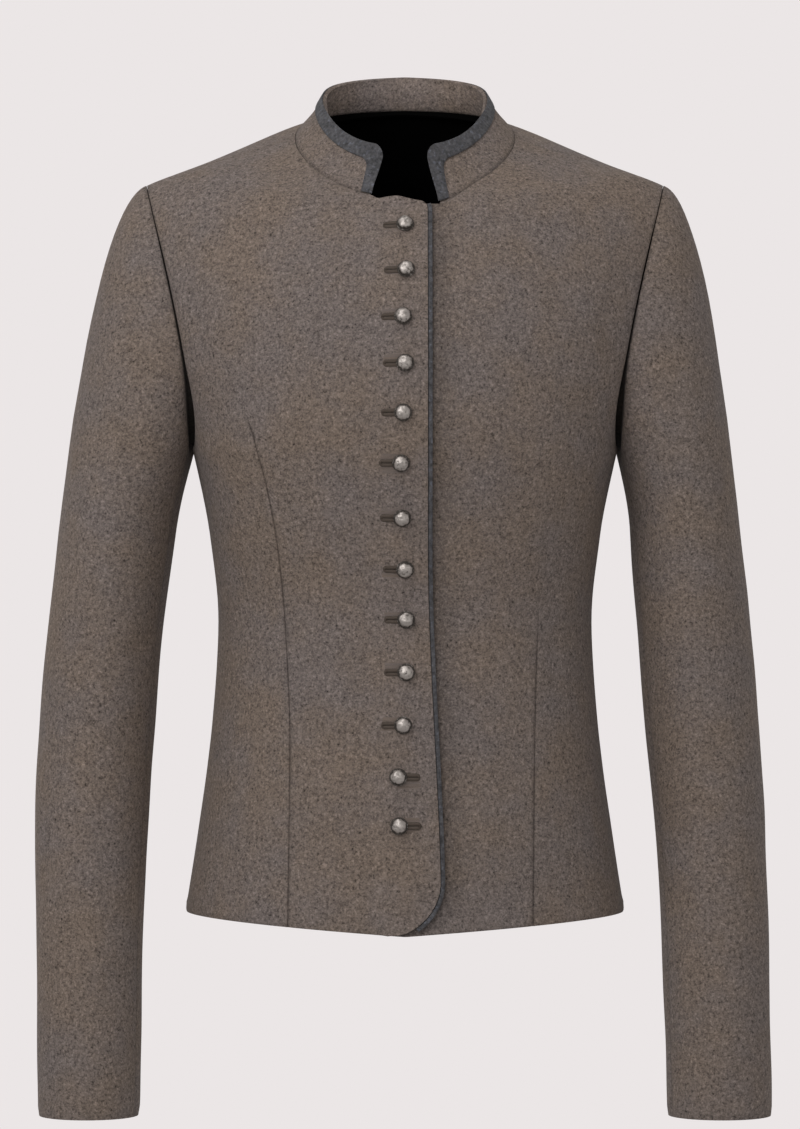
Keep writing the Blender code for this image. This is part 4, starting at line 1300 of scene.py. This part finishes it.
class JacketButtons(bpy.types.PropertyGroup):
    """The metal buttons."""

    silver: FloatVectorProperty(
        name="Silver", description="Worn silver", default=(0.465, 0.425, 0.395), **COLOUR)
    tarnish: FloatVectorProperty(
        name="Tarnish", description="Dark silver", default=(0.090, 0.080, 0.072), **COLOUR)
    hammer_depth: FloatProperty(
        name="Hammer marks", description="How deep the hammer marks are", unit="LENGTH", default=0.00017)
    steps: IntProperty(name="Steps", description="Steps round a button", min=12, max=96, default=48)


class JacketStage(bpy.types.PropertyGroup):
    """Floor, backdrop, lights and camera."""

    backdrop: FloatVectorProperty(
        name="Backdrop", description="Floor and backdrop", default=(0.831, 0.791, 0.791), **COLOUR)
    fill: FloatProperty(name="Fill", description="Light from all round", min=0, default=0.45)
    key_power: FloatProperty(
        name="Key light", description="Softbox on the left", unit="POWER", default=14.0)
    side_power: FloatProperty(
        name="Side light", description="Softbox on the right", unit="POWER", default=7.0)
    front_power: FloatProperty(
        name="Front light", description="Softbox by the camera", unit="POWER", default=10.0)
    top_power: FloatProperty(name="Top light", description="Softbox above", unit="POWER", default=16.0)
    distance: FloatProperty(name="Distance", description="Camera to jacket", unit="LENGTH", default=4.0)


# Operators

def finish_named(name, make, settings):
    return bpy.data.materials.get(name) or make(settings)


def wool_and_inside(cloth):
    return [
        finish_named("felted_wool", wool_finish, cloth),
        finish_named("black_inside", inside_finish, cloth),
    ]


def torso_creases(piece, cloth):
    return lambda row, column, point: cloth.crease * crease_depth(CREASES[piece], point.x, point.z, 1.0)


def slit_reach(button):
    """How far a buttonhole reaches from its button, to each side."""
    return {button.slit_side: SLIT_LONG, -button.slit_side: SLIT_SHORT}


def armhole_or_side(point):
    return armhole_seam(point) if point.z > UNDERARM_Z + 0.002 else SOFT_SEAM


def neck_or_fold(point):
    """The back is cut on the fold: its centre line is no edge."""
    return NECK_SEAM if abs(point.x) > 0.0001 else None


def collar_or_edge(point):
    return NECK_SEAM if point.z > NECK_FRONT_Z + 0.0005 else PLAIN_EDGE


class JACKET_OT_fronts(bpy.types.Operator):
    """The two fronts, with their darts and the right one's buttonhole slits"""

    bl_idname = "jacket.make_fronts"
    bl_label = "Fronts"

    def execute(self, context):
        cloth = context.scene.jacket_cloth
        finishes = wool_and_inside(cloth)
        places = torso_places(FRONT_SECTIONS, FRONT_ROWS)
        for side, shift in ((RIGHT, (0.31, 0.0, 0.07)), (LEFT, (0.0, 0.43, -0.12))):
            node = f"front_{SIDE_WORDS[side]}"
            rows, sewn = front_rows(places, side, cloth.dart_depth)
            panel = Panel(rows, Vector((0, -1, 0)))
            # The dart's line is painted darker by how deep it is sewn: painted shade in its groove.
            panel.shade = sewn
            if side == LEFT:
                panel.shade = [list(map(self.lap_shade, row, shades)) for row, shades in zip(rows, sewn)]
            panel.notch = places.index(NECK_SECTION), EDGE_COLUMNS
            panel.press(
                TURNED_EDGE, SOFT_SEAM, collar_or_edge, armhole_or_side,
                torso_creases(node, cloth), cloth.unevenness, SIDE_CORNER_RADIUS,
            )
            obj = cloth_piece(f"cloth_{node}", [panel], CLOTH_WALL, finishes, shift, cloth.edge_round)
            if side == RIGHT:
                self.cut_slits(obj)
            flat, area = panel.flat_cut()
            dress(obj, node)
        return {"FINISHED"}

    def lap_shade(self, point, shade):
        """The left front is painted darker beside the right one's edge: a painted shadow of the lap."""
        lit = smooth((point.x - right_edge_x(point.z)) / LAP_SHADE_WIDTH)
        return max(shade, LAP_SHADE * (1 - lit))

    def cut_slits(self, front):
        shape = bmesh.new()
        for button in BUTTONS:
            reach = slit_reach(button)
            middle = button.x + (reach[LEFT] - reach[RIGHT]) / 2
            seat, facing = on_front(middle, button.z, RIGHT)
            size = Matrix.Diagonal((SLIT_LONG + SLIT_SHORT, 2.2 * SHANK_RADIUS, 3 * CLOTH_WALL, 1))
            turn = facing.to_track_quat("Z", "Y").to_matrix().to_4x4()
            place = Matrix.Translation(seat - facing * CLOTH_WALL / 2)
            bmesh.ops.create_cube(shape, size=1.0, matrix=place @ turn @ size)
        cutter = add_piece("slits", shape, [], rounded=False)
        add_modifier(front, "Buttonholes", "BOOLEAN", operation="DIFFERENCE", solver="EXACT", object=cutter)
        made_final(front)
        bpy.data.objects.remove(cutter)


class JACKET_OT_back(bpy.types.Operator):
    """The back, in one piece"""

    bl_idname = "jacket.make_back"
    bl_label = "Back"

    def execute(self, context):
        cloth = context.scene.jacket_cloth
        finishes = wool_and_inside(cloth)
        places = torso_places(BACK_SECTIONS, BACK_ROWS)
        halves = [Panel(back_rows(places, side), Vector((0, 1, 0))) for side in (RIGHT, LEFT)]
        for half in halves:
            half.press(
                TURNED_EDGE, SOFT_SEAM, neck_or_fold, armhole_or_side,
                torso_creases("back", cloth), cloth.unevenness, SIDE_CORNER_RADIUS,
            )
        obj = cloth_piece("cloth_back", halves, CLOTH_WALL, finishes, (0.0, 0.0, 0.53), cloth.edge_round)
        (width, length), area = halves[0].flat_cut()
        dress(obj, "back")
        2 * width
        2 * area
        return {"FINISHED"}


class JACKET_OT_sleeves(bpy.types.Operator):
    """Both sleeves, each of an upper and an under piece"""

    bl_idname = "jacket.make_sleeves"
    bl_label = "Sleeves"

    def execute(self, context):
        cloth = context.scene.jacket_cloth
        finishes = wool_and_inside(cloth)
        arc = math.radians(SLEEVE_RADIUS)
        places = [(step / CAP_ROWS) ** CAP_CROWDING for step in range(CAP_ROWS)]
        places += [1 + place for place in spread(SLEEVE_ROWS)]
        for side in (RIGHT, LEFT):
            word = SIDE_WORDS[side]
            creases = CREASES[f"sleeve_{word}"]
            for part, first, last, columns, shift in (
                ("upper", SLEEVE_FRONT_SEAM, 360 + SLEEVE_BACK_SEAM, UPPER_COLUMNS, (0.2 * side, 0.71, 0.0)),
                ("under", SLEEVE_BACK_SEAM, SLEEVE_FRONT_SEAM, UNDER_COLUMNS, (0.1, 0.3 * side, 0.9)),
            ):
                node = f"sleeve_{part}_{word}"
                rows, turns = sleeve_rows(places, side, first, last, columns)
                panel = Panel(rows, Vector((side if part == "upper" else -side, 0, 0)))
                def folds(row, column, point):
                    return cloth.crease * crease_depth(creases, turns[column], point.z, arc)

                # Rows run from the armhole down, so the cuff is the last row.
                panel.press(armhole_seam, TURNED_EDGE, SOFT_SEAM, SOFT_SEAM, folds, cloth.unevenness)
                flat, area = panel.flat_cut()
                panel.add_allowance(side)
                obj = cloth_piece(f"cloth_{node}", [panel], CLOTH_WALL, finishes, shift, cloth.edge_round)
                dress(obj, node)
        return {"FINISHED"}


class JACKET_OT_collar(bpy.types.Operator):
    """The stand collar and the felt band along its edge"""

    bl_idname = "jacket.make_collar"
    bl_label = "Collar"

    def execute(self, context):
        cloth = context.scene.jacket_cloth
        wool, inside = wool_and_inside(cloth)
        # The collar's inside is painted lighter, as painted light in its shade.
        wools = [wool, finish_named("pale_wool", painted_light_wool_finish, cloth), inside]
        felt = finish_named("felt_trim", felt_finish, context.scene.jacket_trim)

        def still(row, column, point):
            return 0.0

        panel = Panel(collar_rows(), Vector((0, 1, 0)))
        # The turned-in rows are painted black as shade, and the row at the seam dark: painted shade below the
        # collar's foot.
        panel.black_shade_rows = len(COLLAR_TURN_IN) - 1
        panel.shade[panel.black_shade_rows] = [COLLAR_FOOT_SHADE] * len(panel.rows[0])
        panel.press(PLAIN_EDGE, PLAIN_EDGE, PLAIN_EDGE, PLAIN_EDGE, still, cloth.unevenness * 0.5)
        shift = (0.62, 0.1, 0.2)
        collar = cloth_piece("cloth_collar", [panel], COLLAR_WALL, wools, shift, cloth.edge_round)
        flat, area = panel.flat_cut()
        dress(collar, "collar")

        panel = Panel(band_rows(), Vector((0, 1, 0)))
        panel.press(FELT_EDGE, PLAIN_EDGE, PLAIN_EDGE, PLAIN_EDGE, still, 0.0)
        rounding = cloth.edge_round * 0.6
        band = cloth_piece("felt_collar_band", [panel], TRIM_WALL, [felt], (0.0, 0.0, 0.0), rounding)
        flat, area = panel.flat_cut()
        dress(band, "collar_band")
        return {"FINISHED"}


class JACKET_OT_piping(bpy.types.Operator):
    """The felt piping along the right front's edge"""

    bl_idname = "jacket.make_piping"
    bl_label = "Front edge piping"

    def execute(self, context):
        cloth = context.scene.jacket_cloth
        felt = finish_named("felt_trim", felt_finish, context.scene.jacket_trim)
        places = torso_places(FRONT_SECTIONS, PIPING_ROWS)
        edge, inner = [], []
        for place in places:
            curve = TorsoCurve(FRONT_SECTIONS, place, -1)
            share = front_curve_start(curve, place, RIGHT)
            edge.append(front_point(place, share, RIGHT))
            inner.append(front_point(place, share + 0.02, RIGHT))
        sides = []
        for index, point in enumerate(edge):
            if not PIPING_FIRST_Z < point.z < PIPING_LAST_Z:
                continue
            along = edge[min(index + 1, len(edge) - 1)] - edge[max(index - 1, 0)]
            facing = along.cross(inner[index] - point).normalized()
            out = facing.cross(along).normalized()
            out = out if out.dot(inner[index] - point) < 0 else -out
            facing = facing if facing.y < 0 else -facing
            sunk = point - facing * PIPING_SINK
            sides.append([
                sunk + out * (SEAM_GAP + PIPING_WIDTH * share) + facing * rise for share, rise in PIPING_SWELL
            ])
        panel = Panel(sides, Vector((0, -1, 0)))
        # The piping's first row is painted dark: painted shadow between the front's edge and the piping.
        for row in panel.shade:
            row[0] = 1.0
        rounding = cloth.edge_round * 0.5
        piping = cloth_piece("felt_front_piping", [panel], TRIM_WALL, [felt], (0.4, 0.0, 0.0), rounding)
        dress(piping, "front_edge_piping")
        return {"FINISHED"}


class Seat:
    """The curved patch of the right front under one buttonhole."""

    def __init__(self, button):
        reach = slit_reach(button)
        self.low = button.x - reach[RIGHT] - SLIT_MARGIN
        self.high = button.x + reach[LEFT] + SLIT_MARGIN
        self.middle = (self.low + self.high) / 2
        self.points = [on_front(x, button.z, RIGHT) for x in (self.low, self.middle, self.high)]
        self.up = self.points[1][1].cross(Vector((1, 0, 0))).normalized()

    def at(self, x, height, lift):
        """A point this far from the jacket's middle, up the cloth from the slit and out from the cloth."""
        share = (x - self.low) / (self.high - self.low)
        weights = (2 * (share - 0.5) * (share - 1), 4 * share * (1 - share), 2 * share * (share - 0.5))
        point, facing = (
            sum((weight * seat[index] for weight, seat in zip(weights, self.points)), Vector())
            for index in range(2)
        )
        return point + self.up * height + facing.normalized() * lift


class JACKET_OT_buttonholes(bpy.types.Operator):
    """The worked buttonholes: close stitches round each slit"""

    bl_idname = "jacket.make_buttonholes"
    bl_label = "Buttonholes"

    def execute(self, context):
        trim = context.scene.jacket_trim
        twist = finish_named("buttonhole_twist", thread_finish, trim)
        steps_round = trim.stitches * STITCH_STEPS
        shape = bmesh.new()
        seam = shape.verts.layers.float.new("seam")
        for button in BUTTONS:
            seat = Seat(button)
            made = bmesh.ops.create_grid(shape, x_segments=steps_round, y_segments=STITCH_ROWS, size=1.0)
            for vertex in made["verts"]:
                turn = (vertex.co.x + 1) / 2
                over = (vertex.co.y + 1) / 2
                x, height, lift, depth = self.stitched(button, seat, turn, over, trim.stitches)
                vertex.co = seat.at(x, height, lift)
                # Painted shade of the stitches, kept in the seam attribute.
                vertex[seam] = depth
        bmesh.ops.remove_doubles(shape, verts=shape.verts, dist=STITCH_WELD)
        bmesh.ops.recalc_face_normals(shape, faces=shape.faces)
        obj = add_piece("stitched_buttonholes", shape, [twist])
        add_modifier(obj, "Thread", "SOLIDIFY", thickness=STITCH_THICKNESS, offset=-1.0)
        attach(obj, "root")
        return {"FINISHED"}

    def stitched(self, button, seat, turn, over, stitches):
        """A point of the ring of stitches: turn runs round the slit, over from its lip to the outside."""
        half_length = (SLIT_LONG + SLIT_SHORT) / 2 - STITCH_THICKNESS
        angle = 2 * math.pi * turn
        ridge = abs(math.sin(math.pi * turn * stitches))
        ragged = 1 + 0.10 * noise.noise(Vector((turn * 40, button.z * 90, 0)))
        across = mixed(STITCH_LIP, STITCH_REACH * ragged, over)
        # A long ring: straight sides with round ends.
        straight = half_length - STITCH_REACH * 0.6
        x = straight * math.copysign(min(1.0, abs(math.cos(angle)) * 1.35), math.cos(angle))
        end = max(0.0, abs(math.cos(angle)) * 1.35 - 1) / 0.35
        x += math.copysign(across * 0.9 * math.sin(math.pi / 2 * end), math.cos(angle))
        height = math.copysign(across * math.cos(math.pi / 2 * end), math.sin(angle))
        crown = math.sin(math.pi * min(1.0, over * 0.96 + 0.04))
        lift = STITCH_LIFT + STITCH_CROWN * crown * (0.55 + 0.45 * ridge)
        # The last value is painted shade: darkest at the lip, the outer edge and between stitches, lightest
        # on their crowns.
        return seat.middle + x, height, lift, 1 - (0.35 + 0.65 * ridge) * min(1.0, crown * 1.4)


class JACKET_OT_buttons(bpy.types.Operator):
    """The domed buttons, each on its shank"""

    bl_idname = "jacket.make_buttons"
    bl_label = "Buttons"

    def execute(self, context):
        buttons = context.scene.jacket_buttons
        silver = finish_named("worn_silver", silver_finish, buttons)
        for number, button in enumerate(BUTTONS, start=1):
            seat, facing = on_front(button.x, button.z, RIGHT)
            below, _ = on_front(button.x, button.z, LEFT)
            base = seat + facing * BUTTON_LIFT
            shape = self.turned((base - below).dot(facing), buttons)
            self.hammer(shape, number, buttons.hammer_depth)
            place = Matrix.Translation(base) @ facing.to_track_quat("Z", "Y").to_matrix().to_4x4()
            bmesh.ops.transform(shape, matrix=place, verts=shape.verts)
            obj = add_piece(f"silver_button_{number:02d}", shape, [silver])
            dress(obj, f"button_{number:02d}")
        return {"FINISHED"}

    def turned(self, front_gap, buttons):
        """The button's half outline, spun round its axis."""
        top = BUTTON_RIM + BUTTON_DOME
        inner = BUTTON_RADIUS * DOME_RADIUS_SHARE
        last = math.radians(DOME_DEGREES)
        outline = []
        for step in range(DOME_STEPS + 1):
            angle = math.radians(DOME_DEGREES * step / DOME_STEPS)
            drop = BUTTON_DOME * (1 - math.cos(angle)) * DOME_SINK_SHARE
            outline.append((inner * math.sin(angle) / math.sin(last), top - drop))
        # A narrow flange stands out round the dome's foot.
        outline += [
            (BUTTON_RADIUS * 0.915, BUTTON_RIM * 0.98),
            (BUTTON_RADIUS * 0.95, BUTTON_RIM * 0.98),
            (BUTTON_RADIUS * 0.985, BUTTON_RIM * 0.86),
            (BUTTON_RADIUS, BUTTON_RIM * 0.50),
            (BUTTON_RADIUS * 0.985, BUTTON_RIM * 0.14),
            (BUTTON_RADIUS * 0.94, 0.0),
            (SHANK_RADIUS * 1.6, 0.0),
            (SHANK_RADIUS, -0.0003),
            (SHANK_RADIUS, -(front_gap - SHANK_GAP)),
            (0.0, -(front_gap - SHANK_GAP)),
        ]
        shape = bmesh.new()
        verts = [shape.verts.new((radius, 0, height)) for radius, height in outline]
        edges = [shape.edges.new(pair) for pair in zip(verts, verts[1:])]
        bmesh.ops.spin(
            shape, geom=[*verts, *edges], cent=(0, 0, 0), axis=(0, 0, 1), angle=2 * math.pi,
            steps=buttons.steps, use_merge=True,
        )
        bmesh.ops.remove_doubles(shape, verts=shape.verts, dist=BUTTON_WELD)
        bmesh.ops.recalc_face_normals(shape, faces=shape.faces)
        return shape

    def hammer(self, shape, number, depth):
        """Shallow hammer marks on the dome, and how tarnished each place is."""
        seam = shape.verts.layers.float.new("seam")
        shift = shape.verts.layers.float_vector.new("cut_shift")
        for vertex in shape.verts:
            x, y, z = vertex.co
            radius = math.hypot(x, y)
            dome = smooth((z - BUTTON_RIM) / (BUTTON_DOME * 0.5))
            mark = noise.noise(Vector((x, y, z)) * HAMMER_SCALE + Vector((number * 3.7, 0, 0)))
            if dome > 0:
                vertex.co += Vector((x, y, z)).normalized() * depth * dome * mark * 2
            rim = smooth((radius / BUTTON_RADIUS - RIM_START) / RIM_RAMP) if z > BUTTON_RIM * 0.5 else 1.0
            vertex[seam] = min(1.0, RIM_TARNISH * rim + max(0.0, -HOLLOW_TARNISH * mark))
            vertex[shift] = Vector((number * 0.11, 0, 0))


# The photograph's frame: metres to a pixel, its size and the pixel where the origin lies
PIXEL = 0.000725
PHOTO_PIXELS = 800, 1129
ORIGIN_PIXEL = 405, 131
FLOOR_DROP = 0.09
LIGHT_AIM = Vector((0, 0, -0.32))
# Each softbox's name, place and size
SOFTBOXES = (
    ("key", (-1.25, -1.7, 0.65), 1.3),
    ("side", (2.2, -3.2, -0.2), 1.4),
    ("front", (-0.5, -3.4, 0.45), 1.0),
    ("top", (-0.6, -0.9, 2.4), 1.6),
)


class JACKET_OT_stage(bpy.types.Operator):
    """Pale floor and backdrop, soft lights and the camera"""

    bl_idname = "jacket.make_stage"
    bl_label = "Stage"

    def execute(self, context):
        stage = context.scene.jacket_stage
        context.scene.view_settings.view_transform = "Standard"
        finish = Finish("pale_backdrop")
        finish.surface(
            Base_Color=opaque((0.0, 0.0, 0.0)), Roughness=1.0, Specular_IOR_Level=0.0,
            Emission_Color=opaque(stage.backdrop), Emission_Strength=1.0,
        )
        for name, make in (("floor", self.floor), ("backdrop", self.dome)):
            shape = bmesh.new()
            make(shape)
            obj = add_piece(name, shape, [finish.material], rounded=False)
            obj.visible_diffuse = False
            obj.visible_glossy = False
            obj.visible_shadow = False
        world = context.scene.world or bpy.data.worlds.new("studio")
        context.scene.world = world
        world.use_nodes = True
        background = world.node_tree.nodes["Background"]
        background.inputs["Color"].default_value = (1.0, 0.975, 0.965, 1.0)
        background.inputs["Strength"].default_value = stage.fill
        for name, place, size in SOFTBOXES:
            self.softbox(name, place, size, getattr(stage, f"{name}_power"))
        self.camera(context.scene, stage.distance)
        return {"FINISHED"}

    def floor(self, shape):
        bmesh.ops.create_grid(shape, x_segments=1, y_segments=1, size=8.0)
        bmesh.ops.translate(shape, vec=(0, 0, CAD_BOX[0][2] - FLOOR_DROP), verts=shape.verts)

    def dome(self, shape):
        bmesh.ops.create_icosphere(shape, subdivisions=4, radius=14.0)
        bmesh.ops.reverse_faces(shape, faces=shape.faces)

    def softbox(self, name, place, size, power):
        light = bpy.data.lights.new(name, "AREA")
        light.shape = "SQUARE"
        light.size = size
        light.energy = power
        obj = bpy.data.objects.new(name, light)
        obj.location = place
        aim = LIGHT_AIM - Vector(place)
        obj.rotation_mode = "QUATERNION"
        obj.rotation_quaternion = aim.to_track_quat("-Z", "Y")
        bpy.context.scene.collection.objects.link(obj)

    def camera(self, scene, distance):
        """Straight on, framed as the photograph."""
        width, height = PHOTO_PIXELS
        lens = bpy.data.cameras.new("camera")
        lens.sensor_width = 36.0
        lens.lens = lens.sensor_width * distance / (PIXEL * height)
        lens.clip_end = 60.0
        camera = bpy.data.objects.new("camera", lens)
        across, up = width / 2 - ORIGIN_PIXEL[0], ORIGIN_PIXEL[1] - height / 2
        camera.location = (across * PIXEL, -distance, up * PIXEL)
        camera.rotation_euler = (math.pi / 2, 0, 0)
        scene.collection.objects.link(camera)
        scene.camera = camera


class JACKET_PT_sidebar(bpy.types.Panel):
    """The jacket's settings and its pieces"""

    bl_idname = "JACKET_PT_sidebar"
    bl_label = "Trachten jacket"
    bl_space_type = "VIEW_3D"
    bl_region_type = "UI"
    bl_category = "Jacket"

    def draw(self, context):
        scene = context.scene
        for group in (scene.jacket_cloth, scene.jacket_trim, scene.jacket_buttons, scene.jacket_stage):
            box = self.layout.box()
            for name in group.bl_rna.properties.keys():
                if name not in ("rna_type", "name"):
                    box.prop(group, name)
        for operator in OPERATORS:
            self.layout.operator(operator.bl_idname)


GROUPS = {
    "jacket_cloth": JacketCloth,
    "jacket_trim": JacketTrim,
    "jacket_buttons": JacketButtons,
    "jacket_stage": JacketStage,
}
OPERATORS = (
    JACKET_OT_stage,
    JACKET_OT_piping,
    JACKET_OT_fronts,
    JACKET_OT_back,
    JACKET_OT_sleeves,
    JACKET_OT_collar,
    JACKET_OT_buttonholes,
    JACKET_OT_buttons,
)


def register():
    for name, group in GROUPS.items():
        bpy.utils.register_class(group)
        setattr(bpy.types.Scene, name, PointerProperty(type=group))
    for operator in OPERATORS:
        bpy.utils.register_class(operator)
    bpy.utils.register_class(JACKET_PT_sidebar)


def unregister():
    bpy.utils.unregister_class(JACKET_PT_sidebar)
    for operator in reversed(OPERATORS):
        bpy.utils.unregister_class(operator)
    for name, group in reversed(GROUPS.items()):
        delattr(bpy.types.Scene, name)
        bpy.utils.unregister_class(group)


def main():
    register()
    bpy.ops.jacket.make_stage()
    bpy.ops.jacket.make_piping()
    bpy.ops.jacket.make_fronts()
    bpy.ops.jacket.make_back()
    bpy.ops.jacket.make_sleeves()
    bpy.ops.jacket.make_collar()
    bpy.ops.jacket.make_buttonholes()
    bpy.ops.jacket.make_buttons()


if __name__ == "__main__":
    main()
